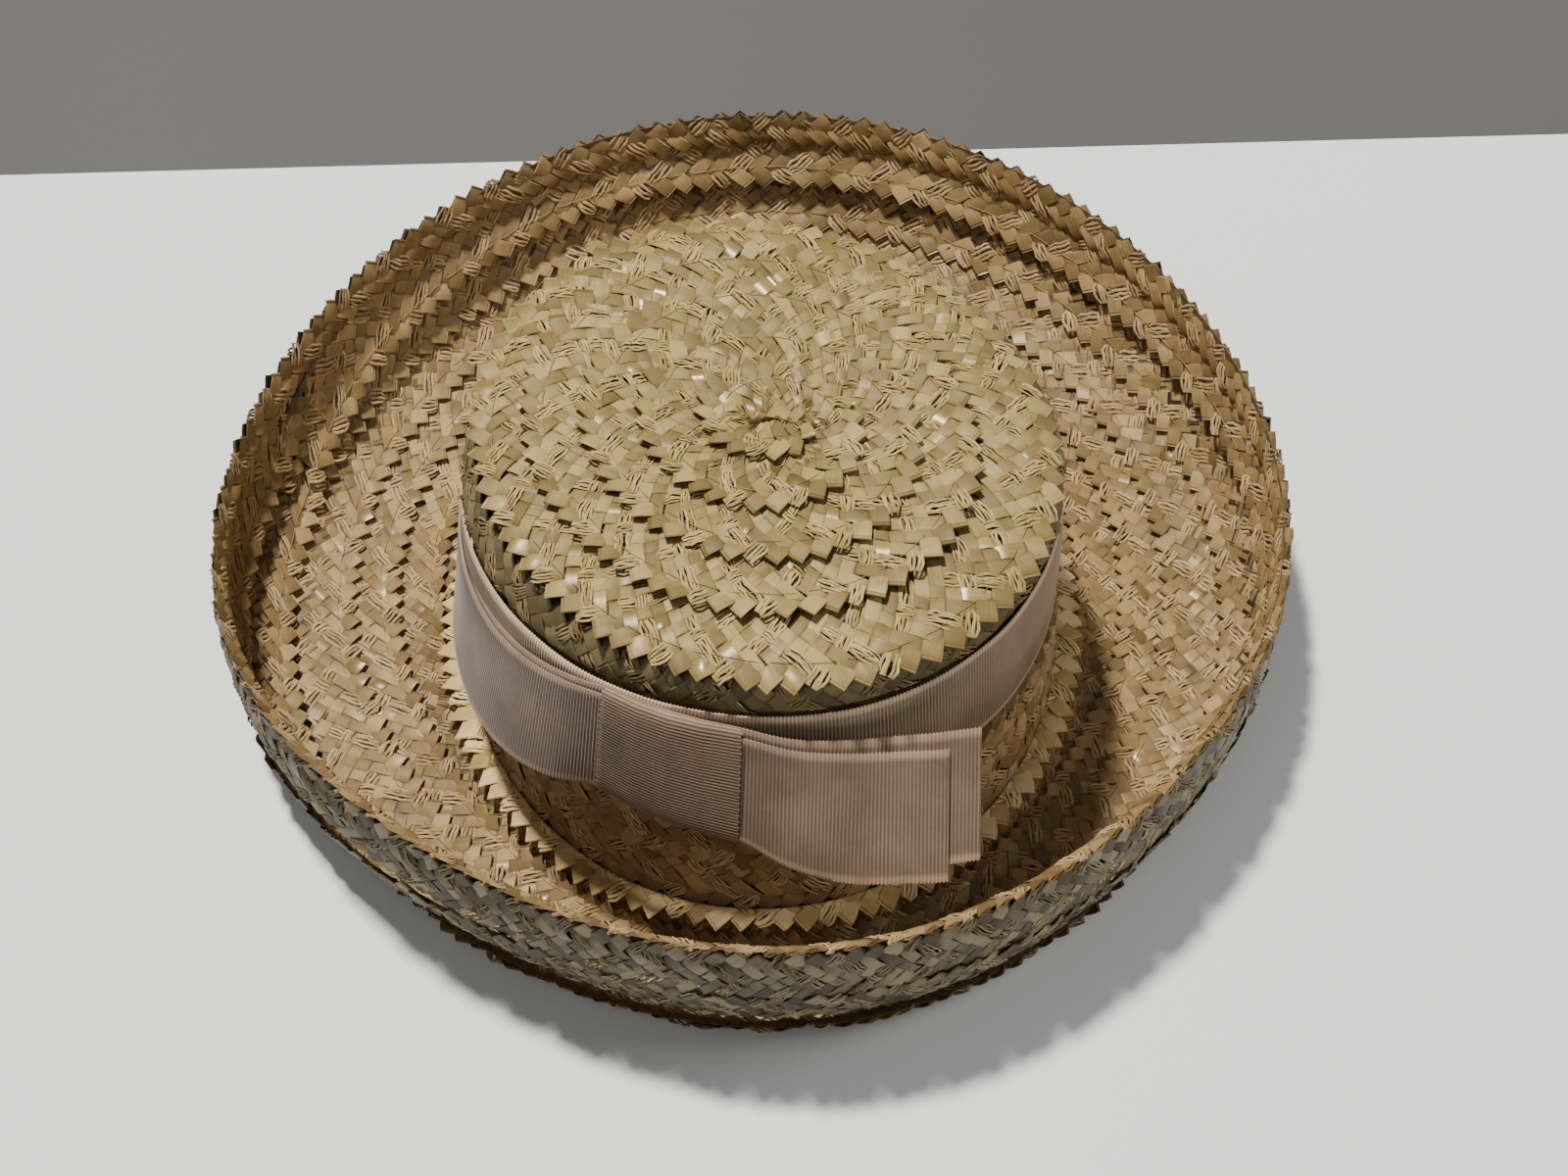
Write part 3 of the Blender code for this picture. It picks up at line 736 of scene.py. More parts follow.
def base_row_face(corner, level, height):
    """Loose row round the foot of the crown: its points stand up where it has come away."""
    a = -2 * math.pi * corner / 105.0 + 0.7
    out = BASE_ROW_OUT - (level + 1.0) * PITCH / 2.0 + wobble(a, 51, 0.0006)
    degrees = np.degrees((a + math.pi) % (2 * math.pi) - math.pi)
    lift = smooth(BASE_LIFTS, degrees)[..., 0] * BASE_ROW_LIFT
    share = np.clip(out, 0.0, None) / 0.0985
    point = brim_face(a, share, 0.0046 + height + np.minimum(out, 0.0) * 0.3)
    point[..., 2] += lift * ease(out / BASE_ROW_OUT)
    return point


# ---- materials ----


def hex_linear(code):
    """sRGB hex to linear colour."""
    rgb = [int(code[i:i + 2], 16) / 255.0 for i in (1, 3, 5)]
    return tuple(c / 12.92 if c <= 0.04045 else ((c + 0.055) / 1.055) ** 2.4 for c in rgb) + (1.0,)


def add_node(tree, kind, settings=None, links=None):
    """Adds a node, sets its properties and input values, and links its inputs from other sockets."""
    node = tree.nodes.new(kind)
    for key, value in (settings or {}).items():
        if isinstance(key, int) or key in node.inputs.keys():
            node.inputs[key].default_value = value
        else:
            setattr(node, key, value)
    for key, source in (links or {}).items():
        tree.links.new(source, node.inputs[key])
    return node


def new_material(name):
    """Empty node material with its output and Principled shader."""
    mat = bpy.data.materials.new(name)
    mat.use_nodes = True
    tree = mat.node_tree
    tree.nodes.clear()
    out = tree.nodes.new("ShaderNodeOutputMaterial")
    shader = tree.nodes.new("ShaderNodeBsdfPrincipled")
    tree.links.new(shader.outputs[0], out.inputs[0])
    return mat, tree, shader


def ramp(tree, source, stops):
    """Colour ramp over the given (place, hex) stops."""
    node = add_node(tree, "ShaderNodeValToRGB", links={0: source})
    node.color_ramp.elements[0].position = stops[0][0]
    node.color_ramp.elements[0].color = hex_linear(stops[0][1])
    node.color_ramp.elements[1].position = stops[-1][0]
    node.color_ramp.elements[1].color = hex_linear(stops[-1][1])
    for place, code in stops[1:-1]:
        element = node.color_ramp.elements.new(place)
        element.color = hex_linear(code)
    return node


def straw_material(name, dark, middle, light, fibre=False):
    """Dried split straw: a waxy, half glossy skin with fine lengthwise grain; fibre bundles are matt.

    The grain reads the straw's own lay in millimetres: streaks 0.35 mm wide and
    about 10 mm long on a flat straw, fibres 0.3 mm apart in a bundle.
    """
    mat, tree, shader = new_material(name)
    lay = add_node(tree, "ShaderNodeAttribute", {"attribute_name": "lay"})
    tone = add_node(tree, "ShaderNodeAttribute", {"attribute_name": "tone"})
    where = add_node(tree, "ShaderNodeTexCoord")
    grain_size = (0.35, 3.4, 1.0) if fibre else (0.10, 2.8, 1.0)
    grain_at = add_node(tree, "ShaderNodeVectorMath", {"operation": "MULTIPLY", 1: grain_size},
                        {0: lay.outputs["Vector"]})
    grain = add_node(tree, "ShaderNodeTexNoise", {"Scale": 1.0, "Detail": 3.0, "Roughness": 0.6},
                     {"Vector": grain_at.outputs[0]})
    blotch = add_node(tree, "ShaderNodeTexNoise", {"Scale": 240.0, "Detail": 2.0},
                      {"Vector": where.outputs["Object"]})
    area = add_node(tree, "ShaderNodeTexNoise", {"Scale": 16.0, "Detail": 2.0},
                    {"Vector": where.outputs["Object"]})
    # The tone attribute carries random tone and painted shade where straws dip under each other.
    mixed = add_node(tree, "ShaderNodeMath", {"operation": "MULTIPLY_ADD", 1: 0.50 if not fibre else 0.30, 2: 0.0},
                     {0: tone.outputs["Fac"]})
    mixed = add_node(tree, "ShaderNodeMath", {"operation": "MULTIPLY_ADD", 1: 0.34 if not fibre else 0.85},
                     {0: grain.outputs["Fac"], 2: mixed.outputs[0]})
    mixed = add_node(tree, "ShaderNodeMath", {"operation": "MULTIPLY_ADD", 1: 0.30},
                     {0: blotch.outputs["Fac"], 2: mixed.outputs[0]})
    mixed = add_node(tree, "ShaderNodeMath", {"operation": "MULTIPLY_ADD", 1: 0.30},
                     {0: area.outputs["Fac"], 2: mixed.outputs[0]})
    lower = 0.42 if fibre else 0.38
    upper = 1.15 if fibre else 1.05
    colour = ramp(tree, mixed.outputs[0], ((lower - 0.05, dark), ((lower + upper) / 2.1, middle), (upper - 0.12, light)))
    tree.links.new(colour.outputs[0], shader.inputs["Base Color"])
    part = add_node(tree, "ShaderNodeSeparateXYZ", links={0: lay.outputs["Vector"]})
    luck = add_node(tree, "ShaderNodeTexWhiteNoise", {"noise_dimensions": "1D"}, {"W": part.outputs["Z"]})
    rough = add_node(tree, "ShaderNodeMapRange", {"From Min": 0.02, "From Max": 0.26,
                                                  "To Min": 0.46 if fibre else 0.25,
                                                  "To Max": 0.72 if fibre else 0.60},
                     {"Value": luck.outputs["Value"]})
    tree.links.new(rough.outputs[0], shader.inputs["Roughness"])
    bump = add_node(tree, "ShaderNodeBump", {"Strength": 0.9 if fibre else 0.35, "Distance": 0.00025 if fibre else 0.00006},
                    {"Height": grain.outputs["Fac"]})
    tree.links.new(bump.outputs[0], shader.inputs["Normal"])
    shader.inputs["IOR"].default_value = 1.50
    shader.inputs["Specular IOR Level"].default_value = 0.26 if fibre else 0.46
    shader.inputs["Specular Tint"].default_value = (1.0, 0.85, 0.62, 1.0)
    return mat


def backing_material(name, code):
    """Inner face of the plait, seen only through gaps: dull straw painted dark, painted shade for the gaps, with a
    coarse weave 5 mm wide.
    """
    mat, tree, shader = new_material(name)
    where = add_node(tree, "ShaderNodeTexCoord")
    weave = add_node(tree, "ShaderNodeTexChecker", {"Scale": 200.0}, {"Vector": where.outputs["Object"]})
    fleck = add_node(tree, "ShaderNodeTexNoise", {"Scale": 500.0, "Detail": 3.0}, {"Vector": where.outputs["Object"]})
    colour = ramp(tree, fleck.outputs["Fac"], ((0.25, "#2e2415"), (0.75, code)))
    tree.links.new(colour.outputs[0], shader.inputs["Base Color"])
    bump = add_node(tree, "ShaderNodeBump", {"Strength": 0.3, "Distance": 0.0003}, {"Height": weave.outputs["Fac"]})
    tree.links.new(bump.outputs[0], shader.inputs["Normal"])
    shader.inputs["Roughness"].default_value = 0.7
    return mat


def grosgrain_material(name, dark, light):
    """Rayon and cotton grosgrain: matt ribbed cloth with a faint sheen, a little stained and uneven; painted shade
    darkens the rib grooves and painted light brightens the rib tops.
    """
    mat, tree, shader = new_material(name)
    lay = add_node(tree, "ShaderNodeAttribute", {"attribute_name": "lay"})
    where = add_node(tree, "ShaderNodeTexCoord")
    thread_at = add_node(tree, "ShaderNodeVectorMath", {"operation": "MULTIPLY", 1: (1.0, 2.4, 1.0)},
                         {0: lay.outputs["Vector"]})
    thread = add_node(tree, "ShaderNodeTexNoise", {"Scale": 1.6, "Detail": 3.0}, {"Vector": thread_at.outputs[0]})
    cloud = add_node(tree, "ShaderNodeTexNoise", {"Scale": 60.0, "Detail": 4.0, "Roughness": 0.6},
                     {"Vector": where.outputs["Object"]})
    mixed = add_node(tree, "ShaderNodeMath", {"operation": "MULTIPLY_ADD", 1: 0.45},
                     {0: thread.outputs["Fac"], 2: cloud.outputs["Fac"]})
    colour = ramp(tree, mixed.outputs[0], ((0.45, dark), (0.95, light)))
    # Rib shade: rib tops painted lighter and grooves darker from the tone attribute, painted light and painted shade on
    # the ribs; the woven edges are painted lighter too.
    rib = add_node(tree, "ShaderNodeAttribute", {"attribute_name": "tone"})
    shade = add_node(tree, "ShaderNodeMapRange", {"From Max": 1.5, "To Min": 0.26, "To Max": 1.66}, {"Value": rib.outputs["Fac"]})
    ribbed = add_node(tree, "ShaderNodeVectorMath", {"operation": "SCALE"},
                      {0: colour.outputs[0], "Scale": shade.outputs[0]})
    spots = add_node(tree, "ShaderNodeTexNoise", {"Scale": 95.0, "Detail": 2.0}, {"Vector": where.outputs["Object"]})
    spot = add_node(tree, "ShaderNodeMapRange", {"From Min": 0.66, "From Max": 0.78, "To Max": 0.45},
                    {"Value": spots.outputs["Fac"]})
    stained = add_node(tree, "ShaderNodeMix", {"data_type": "RGBA", 7: hex_linear("#8a5a3c")},
                       {0: spot.outputs[0], 6: ribbed.outputs[0]})
    tree.links.new(stained.outputs[2], shader.inputs["Base Color"])
    shader.inputs["Roughness"].default_value = 0.72
    shader.inputs["Sheen Weight"].default_value = 0.25
    shader.inputs["Sheen Roughness"].default_value = 0.45
    shader.inputs["Specular IOR Level"].default_value = 0.3
    return mat


tip_straw = straw_material("split_straw_tip", "#4e4121", "#715f36", "#958252")
tip_fibre = straw_material("straw_fibre_tip", "#5c4a28", "#887346", "#af9968", fibre=True)
# Crown side: the same straw painted darker and greyer, painted shade under the tip's overhang together with some grime.
side_straw_shaded = straw_material("split_straw_side_painted_shade", "#3a311b", "#554a2d", "#736542")
side_fibre_shaded = straw_material("straw_fibre_side_painted_shade", "#483c23", "#69593a", "#8a7853", fibre=True)
# Foot rows of the crown: the same straw painted lighter, painted light for the light bounced in under the bow.
foot_straw_lit = straw_material("split_straw_foot_painted_light", "#5d4a2f", "#83694a", "#aa8f66")
foot_fibre_lit = straw_material("straw_fibre_foot_painted_light", "#6b573a", "#957b55", "#baa078", fibre=True)
# Loose base row: the same straw painted much lighter, painted light where the lifted flap catches the lamp.
loose_straw_lit = straw_material("split_straw_loose_painted_light", "#82693f", "#b0935f", "#d6bc8c")
loose_fibre_lit = straw_material("straw_fibre_loose_painted_light", "#8d7447", "#bda06b", "#dcc495", fibre=True)
brim_straw = straw_material("split_straw_brim", "#4f3f23", "#755f3b", "#997f55")
brim_fibre = straw_material("straw_fibre_brim", "#604b2e", "#8a704a", "#b0956c", fibre=True)
# Outside of the brim and rim: the same straw painted darker and greyer, painted shade for the cool shade on the outer
# wall.
outer_straw_shaded = straw_material("split_straw_outside_painted_shade", "#1c1810", "#4d4533", "#8a7f60")
outer_fibre_shaded = straw_material("straw_fibre_outside_painted_shade", "#28231a", "#62583f", "#9c9074", fibre=True)
thread_cotton = straw_material("sewing_thread", "#6e5a38", "#8d774c", "#a89166", fibre=True)
# Backing behind the plait and its crossings: painted dark for the shade in the gaps.
backing_shaded = backing_material("straw_inside_painted_shade", "#6d5a3c")
# One grosgrain in two copies: the band painted lighter (painted light on the lit band) and the bow darker (painted
# shade on the loop and knot).
band_cloth_lit = grosgrain_material("grosgrain_band", "#a0876a", "#c1a685")
bow_cloth_shaded = grosgrain_material("grosgrain_bow", "#745f4b", "#957b65")


# ---- straw pieces ----


def rows_of_side(first, last):
    """Rows of the crown side with their faces, from the foot up."""
    out = []
    for k, (z_edge, corners) in list(enumerate(SIDE_ROWS))[first:last]:
        strips = HALF_FACE if k == len(SIDE_ROWS) - 1 else FULL_FACE
        phase = 0.3 + 0.9 * k
        shown = clear_of_band(z_edge, corners, phase)
        out.append((side_row_face(z_edge, corners, phase), corners, strips, False, shown))
    return out


def rows_of_brim(under, first, last):
    """Closed rows of the brim, seen from above or from below, from the crown outward."""
    shown = outer_shown if under else inner_shown
    return [(brim_row_face(k), BRIM_ROWS[k][2], FULL_FACE, under, shown(k)) for k in range(first, last)]


tip_pieces = plait("tip", [(spiral_face, SPIRAL_CORNERS, FULL_FACE, False, all_shown),
                           (tip_ring_face, 84, FULL_FACE, False, all_shown)], tip_straw, tip_fibre, 11)
side_pieces = plait("side", rows_of_side(2, 5), side_straw_shaded, side_fibre_shaded, 12)
side_pieces += plait("side_foot", rows_of_side(0, 2), foot_straw_lit, foot_fibre_lit, 18)
brim_pieces = plait("brim_inner", rows_of_brim(False, 0, 5) + [
    (last_row_face, LAST_CORNERS, FULL_FACE, False, all_shown)], brim_straw, brim_fibre, 13, 4)
brim_pieces += plait("brim_under", rows_of_brim(True, 0, 4), brim_straw, brim_fibre, 15, 4)
brim_pieces += plait("brim_outer", rows_of_brim(True, 4, 5) + [
    (last_row_face, LAST_CORNERS, (CORNER_SQUARE,), True, all_shown)], outer_straw_shaded, outer_fibre_shaded, 14, 4)
rim_pieces = plait("rim", [(rim_face, 161, FULL_FACE, True, rim_shown)], outer_straw_shaded, outer_fibre_shaded, 16)
rim_pieces += plait("rim_edge", [(rim_tooth_face, 161, CORNERS_ONLY, False, all_shown)], brim_straw, brim_fibre, 19, 4)
base_pieces = plait("base_row", [(base_row_face, 105, CORNERS_ONLY, False, all_shown)], loose_straw_lit, loose_fibre_lit, 17)


def shell_of_revolution(name, faces, material):
    """Closed thin body from rings of points round the crown, section order first to last."""
    n = 180
    a = np.arange(n) * 2 * math.pi / n
    section = [face(a) for face in faces]
    grid = np.stack(section, axis=1)
    loops, starts, totals = rings(n, len(section), True)
    points = grid.reshape(-1, 3)
    loops = outward(points, loops, starts, totals)
    return build(name, points, loops, starts, totals, [], material, sharp=50)


def side_ring(z, off):
    """One ring of the crown side at height z."""
    return lambda a: side_face(a, np.full_like(a, z), off)


def tip_ring(rho, off):
    """One ring of the tip."""
    return lambda a: tip_face(a, np.full_like(a, rho), off)


HEIGHTS = np.linspace(SIDE_FOOT + 0.003, SIDE_TOP - 0.001, 14)
side_back = shell_of_revolution(
    "side_inside",
    [side_ring(z, -0.0012) for z in HEIGHTS] + [side_ring(z, -0.0022) for z in HEIGHTS[::-1]], backing_shaded)
DISC = np.linspace(0.0002, TIP_HALF - 0.0035, 10)
tip_back = shell_of_revolution(
    "tip_inside",
    [tip_ring(r, -0.0012) for r in DISC] + [tip_ring(r, -0.0022) for r in DISC[::-1]], backing_shaded)


def row_cores(name, rows, material):
    """Thin closed strips down the middle of rows of plait: the crossings below the floats."""
    levels = np.array([-0.1, 1.8, 3.5, 5.4, 7.4])
    level = np.concatenate([levels, levels[::-1]])
    off = np.concatenate([np.full(5, 0.00010), np.full(5, -0.00010)])
    parts = []
    base = 0
    loop_base = 0
    for face, corners, closed in rows:
        n = int(corners / 1.5)
        corner = np.arange(n) * corners / n
        grid = face(corner[:, None] + 0.0 * level, level[None, :] + 0.0 * corner[:, None], off[None, :])
        lo, st, to = rings(n, len(level), closed)
        lo = outward(grid.reshape(-1, 3), lo, st, to)
        parts.append((grid.reshape(-1, 3), lo + base, st + loop_base, to))
        base += grid.shape[0] * grid.shape[1]
        loop_base += len(lo)
    points, loops, starts, totals = (np.concatenate([p[i] for p in parts]) for i in range(4))
    return build(name, points, loops, starts, totals, [], material, sharp=50)


brim_back = row_cores("brim_crossings", [(brim_row_face(k), row[2], True) for k, row in enumerate(BRIM_ROWS)] + [
    (last_row_face, LAST_CORNERS, False)], backing_shaded)


def thread_piece(name, runs):
    """Sewing thread: thin three-sided tubes along rows, floating over the straws and dipping at stitches."""
    parts = []
    for face, corners, level, seed in runs:
        rng = np.random.default_rng(seed)
        corner = np.arange(0.0, corners, 0.25)
        dip = rng.uniform(0, 1, int(corners / 3.5) + 2)
        place = corner / 3.5
        k = place.astype(int)
        f = place - k
        over = 1.5 * WEAVE_RISE + 0.00020 + 0.00012 * dip[k]
        height = over - 0.0012 * np.exp(-((f - 0.5) / 0.06) ** 2)
        lev = level + 0.10 * np.sin(corner * 0.5 + seed) + 0.05 * np.sin(corner * 2.3)
        centre = face(corner, lev, height)
        run = np.gradient(centre, axis=0)
        run = run / np.linalg.norm(run, axis=1)[:, None]
        up = face(corner, lev, height + 0.001) - centre
        up = up / np.linalg.norm(up, axis=1)[:, None]
        side = np.cross(run, up)
        ring = [centre + 0.00011 * (up * c + side * s) for c, s in ((1, 0), (-0.5, 0.87), (-0.5, -0.87))]
        parts.append(np.stack(ring, axis=1))
    loops = []
    starts = []
    totals = []
    base = 0
    loop_base = 0
    for grid in parts:
        lo, st, to = rings(len(grid), 3, False)
        loops.append(lo + base)
        starts.append(st + loop_base)
        totals.append(to)
        base += len(grid) * 3
        loop_base += len(lo)
    points = np.concatenate([g.reshape(-1, 3) for g in parts])
    loops, starts, totals = np.concatenate(loops), np.concatenate(starts), np.concatenate(totals)
    loops = outward(points, loops, starts, totals)
    lay = points * 1000.0
    return build(name, points, loops, starts, totals,
                 [("lay", "FLOAT_VECTOR", lay), ("tone", "FLOAT", np.full(len(points), 0.6))], thread_cotton)


tip_thread = thread_piece("tip_thread", [(tip_ring_face, 84, 1.3, 1), (spiral_face, SPIRAL_CORNERS - 8, 1.3, 2)])
side_thread = thread_piece("side_thread", [(side_row_face(*SIDE_ROWS[0], 0.3), 91, 1.3, 3),
                                           (side_row_face(*SIDE_ROWS[1], 1.2), 91, 1.3, 4)])
brim_thread = thread_piece("brim_thread", [
    (brim_row_face(k), row[2], 1.3, 5 + k) for k, row in enumerate(BRIM_ROWS)] + [
    (last_row_face, LAST_CORNERS, 1.3, 11)])


# ---- ribbon ----

ACROSS = np.array([0.0, 0.028, 0.070, 0.50, 0.930, 0.972, 1.0])


def ribbon_sections(count, surface, both_ribbed=True):
    """Section points of a ribbed ribbon at count stations, three to a rib.

    surface(station, across, off) gives the point.  The outer face rises and
    falls once a rib; the two woven edges reach out in a small loop every
    second rib.  The tone paints the rib tops lighter and the grooves darker
    (painted light and painted shade), the woven edges lighter (their paler
    weave and painted light) and a darker line just inside them (painted shade).
    """
    station = np.arange(count)
    phase = station / PER_RIB * 2.0 * math.pi
    wave = np.cos(phase)
    loop = 0.5 + 0.5 * np.cos(phase)
    rows = []
    tones = []
    lays = []
    for side in (1.0, -1.0):
        order = ACROSS if side > 0 else ACROSS[::-1]
        for share in order:
            reach = 0.0
            if share == 0.0:
                reach = -1.0
            elif share == 1.0:
                reach = 1.0
            across = share * RIBBON_WIDTH + reach * 0.00050 * loop
            relief = RIB_RISE * wave * (0.0 if share in (0.0, 1.0) else 1.0)
            woven = share < 0.05 or share > 0.95
            off = side * (CLOTH / 2 * (0.7 if share in (0.0, 1.0) else 1.25 if woven else 1.0) + relief)
            rows.append(surface(station, across, off))
            # Painted shade in the rib grooves and painted light on the rib tops; edges lighter for their own weave and
            # for painted light, with a painted shade line just inside.
            tones.append(1.0 + 0.5 * wave if woven else (0.5 + 0.5 * wave) * (1.0 if share == 0.5 else 0.7))
            lays.append(np.stack([station * RIB / PER_RIB * 1000.0, across * 1000.0 + 0.0 * station, 0.0 * station + side], -1))
    return np.stack(rows, axis=1), np.stack(lays, axis=1), np.stack(tones, axis=1)


def band_surface(count):
    """Ribbon round the crown."""
    def surface(station, across, off):
        a = -math.pi / 2 + 2 * math.pi * station / count
        z = band_top(a) - across
        puff = 0.0006 * np.sin(across / RIBBON_WIDTH * math.pi) + wobble(a, 61, 0.0005)
        return at(side_radius(a, z) + 0.0021 + off + puff, a, z)
    return surface


def make_ribbon(name, count, surface, material, closed):
    """Mesh of one ribbon."""
    points, lay, tone = ribbon_sections(count, surface)
    loops, starts, totals = rings(count, points.shape[1], closed)
    flat = points.reshape(-1, 3)
    loops = outward(flat, loops, starts, totals)
    return build(name, flat, loops, starts, totals,
                 [("lay", "FLOAT_VECTOR", lay.reshape(-1, 3)), ("tone", "FLOAT", tone.reshape(-1))], material, sharp=60)


BAND_LENGTH = 0.5540
BAND_COUNT = PER_RIB * 2 * int(BAND_LENGTH / RIB / 2)
band = make_ribbon("hat_band", BAND_COUNT, band_surface(BAND_COUNT), band_cloth_lit, True)


def unit(v):
    """Unit vectors along the last axis."""
    return v / np.linalg.norm(v, axis=-1, keepdims=True)


def bow_line(angles):
    """Top edge, direction down the ribbon and outward direction of the bow's front layer."""
    rows = smooth(BOW_FRONT, angles)
    a = np.radians(angles)
    z = rows[:, 1] * TIP_HEIGHT
    r = side_radius(a, z) + 0.0026 + rows[:, 0] * RIBBON_WIDTH
    top = at(r, a, z)
    lean = np.radians(rows[:, 2])
    to = np.radians(rows[:, 3])
    down = np.stack([np.sin(lean) * np.cos(to), np.sin(lean) * np.sin(to), -np.cos(lean)], -1)
    out = unit(np.cross(down, np.gradient(top, axis=0)))
    if np.dot(out[len(out) // 2], top[len(out) // 2] - np.array([AXIS_X, AXIS_Y, 0.0])) < 0:
        out = -out
    return top, down, out


def bow_path():
    """Whole bow ribbon: front layer from the tail's end to the far left, the fold, and the back layer."""
    keys = np.array([row[0] for row in BOW_FRONT])
    angles = np.interp(np.linspace(0, len(keys) - 1, 260), np.arange(len(keys)), keys)
    top, down, out = bow_line(angles)
    depth = 0.0009
    side_run = unit(top[0] - top[1])
    front = top + out * 0.0002
    raise_up = np.interp(angles, (-181.0, -120.0, -90.0, -60.8), (0.0012, 0.0018, 0.0024, 0.0046))[:, None]
    back = top - out * depth - down * raise_up
    turn = np.radians(np.linspace(12, 168, 14))
    mid = (front[0] + back[0]) / 2
    half = (front[0] - back[0]) / 2
    fold = mid + half * np.cos(turn)[:, None] + side_run * (depth * 0.75) * np.sin(turn)[:, None]
    run = unit(back[-1] - back[-6])
    tail = back[-1] + run * np.linspace(0.001, 0.0092, 9)[:, None]
    path = np.concatenate([front[::-1], fold, back, tail])
    down = down * smooth(BOW_PINCH, angles)
    drop = np.concatenate([down[::-1], np.repeat(down[:1], len(fold), axis=0), down,
                           np.repeat(down[-1:], len(tail), axis=0)])
    length = np.concatenate([[0.0], np.cumsum(np.linalg.norm(np.diff(path, axis=0), axis=1))])
    return path, drop, length


BOW_PATH, BOW_DROP, BOW_RUN = bow_path()
BOW_LENGTH = BOW_RUN[-1]
BOW_COUNT = PER_RIB * int(BOW_LENGTH / RIB)


def resample(values, count):
    """Values along the bow ribbon at evenly spaced stations."""
    way = np.linspace(0.0, BOW_LENGTH, count)
    return np.stack([np.interp(way, BOW_RUN, values[:, i]) for i in range(values.shape[1])], axis=-1)


BOW_P = resample(BOW_PATH, BOW_COUNT)
BOW_D = resample(BOW_DROP, BOW_COUNT)
soft_run = np.gradient(BOW_P, axis=0)
BOW_N = unit(np.cross(BOW_D, soft_run))


def bow_surface(station, across, off):
    """Point of the bow ribbon: down from the top edge and out along the ribbon's normal; the hollow across its width is
    multiplied by zero.
    """
    share = (across / RIBBON_WIDTH)
    hollow = 0.0005 * np.sin(np.clip(share, 0.0, 1.0) * math.pi)
    across = np.broadcast_to(across, station.shape)
    off = np.broadcast_to(off + 0.0 * hollow, station.shape)
    return BOW_P[station] + BOW_D[station] * across[:, None] + BOW_N[station] * off[:, None]


bow = make_ribbon("bow_ribbon_cloth", BOW_COUNT, bow_surface, bow_cloth_shaded, False)


def knot_piece():
    """Ribbon wrapped round the bow: a rounded flat loop carried along the bow's front layer.

    Its ribs run along the bow, so the loop has four points to a rib and the
    woven edges are its two open ends.
    """
    angles = np.linspace(KNOT_FROM, KNOT_TO, 25)
    top, down, out = bow_line(angles)
    t = np.linspace(0, 2 * math.pi, 4001)
    half_w = RIBBON_WIDTH * 0.45 + KNOT_OVER
    half_n = 0.0018
    power = 2.0 / 5.0
    w = half_w * np.sign(np.cos(t)) * np.abs(np.cos(t)) ** power
    n = half_n * np.sign(np.sin(t)) * np.abs(np.sin(t)) ** power
    run = np.concatenate([[0.0], np.cumsum(np.hypot(np.diff(w), np.diff(n)))])
    ribs = 2 * int(run[-1] / RIB / 2)
    count = ribs * 4
    at_run = np.arange(count) / count * run[-1]
    w = np.interp(at_run, run, w)
    n = np.interp(at_run, run, n)
    dw = np.gradient(w)
    dn = np.gradient(n)
    long = np.hypot(dw, dn)
    nw = dn / long
    nn = -dw / long
    phase = np.arange(count) / 4.0 * 2 * math.pi
    relief = RIB_RISE * np.cos(phase)
    loop = 0.5 + 0.5 * np.cos(phase / 2.0)
    ways = np.array([0.0, 0.03, 0.27, 0.5, 0.73, 0.97, 1.0])
    sections = []
    tones = []
    lays = []
    for side in (1.0, -1.0):
        order = ways if side > 0 else ways[::-1]
        for share in order:
            place = share * (len(angles) - 1)
            k = int(min(place, len(angles) - 2))
            f = place - k
            base = top[k] * (1 - f) + top[k + 1] * f
            dn_dir = unit(down[k] * (1 - f) + down[k + 1] * f)
            out_dir = unit(out[k] * (1 - f) + out[k + 1] * f)
            along_dir = unit(top[k + 1] - top[k])
            edge = share in (0.0, 1.0)
            reach = (-1.0 if share == 0.0 else 1.0 if share == 1.0 else 0.0) * 0.0004 * loop
            off = side * (CLOTH / 2 * (0.35 if edge else 1.0) + relief * (0.0 if edge else 1.0))
            bulge = 0.0007 * math.sin(math.pi * share) * (n > 0)
            half = RIBBON_WIDTH / 2 * float(smooth(BOW_PINCH, angles[k] * (1 - f) + angles[k + 1] * f)[0])
            ww = half - 0.0006 + w * (half + KNOT_OVER) / half_w + nw * off
            oo = -0.0006 + n + nn * off + bulge
            sections.append(base + dn_dir * ww[:, None] + out_dir * oo[:, None] + along_dir * reach[:, None])
            # Painted shade in the rib grooves and painted light on the rib tops.
            tones.append(0.5 + 0.5 * np.cos(phase))
            lays.append(np.stack([np.arange(count) * RIB / 4 * 1000, np.full(count, share * 38.0), np.full(count, side)], -1))
    points = np.stack(sections, axis=1)
    loops, starts, totals = rings(count, points.shape[1], True)
    flat = points.reshape(-1, 3)
    loops = outward(flat, loops, starts, totals)
    obj = build("bow_knot_cloth", flat, loops, starts, totals,
                [("lay", "FLOAT_VECTOR", np.stack(lays, 1).reshape(-1, 3)),
                 ("tone", "FLOAT", np.stack(tones, 1).reshape(-1))], bow_cloth_shaded, sharp=60)
    return obj, run[-1]


knot, KNOT_LENGTH = knot_piece()

for piece in tip_pieces + [tip_back, tip_thread]:
    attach(piece, "root")
    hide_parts("crown_tip")
for piece in side_pieces + [side_back, side_thread]:
    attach(piece, "root")
    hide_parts("crown_side")
for piece in brim_pieces + [brim_back, brim_thread]:
    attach(piece, "root")
    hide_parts("brim")
for piece in rim_pieces:
    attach(piece, "root")
    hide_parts("rim_binding")
for piece in base_pieces:
    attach(piece, "root")
    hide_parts("base_row")
for piece, node, finish in (
    (band, "ribbon_band", "grosgrain_ribbon"), (bow, "bow_ribbon", "grosgrain_bow"), (knot, "bow_knot", "grosgrain_bow"),
):
    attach(piece, "root")
    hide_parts(node)

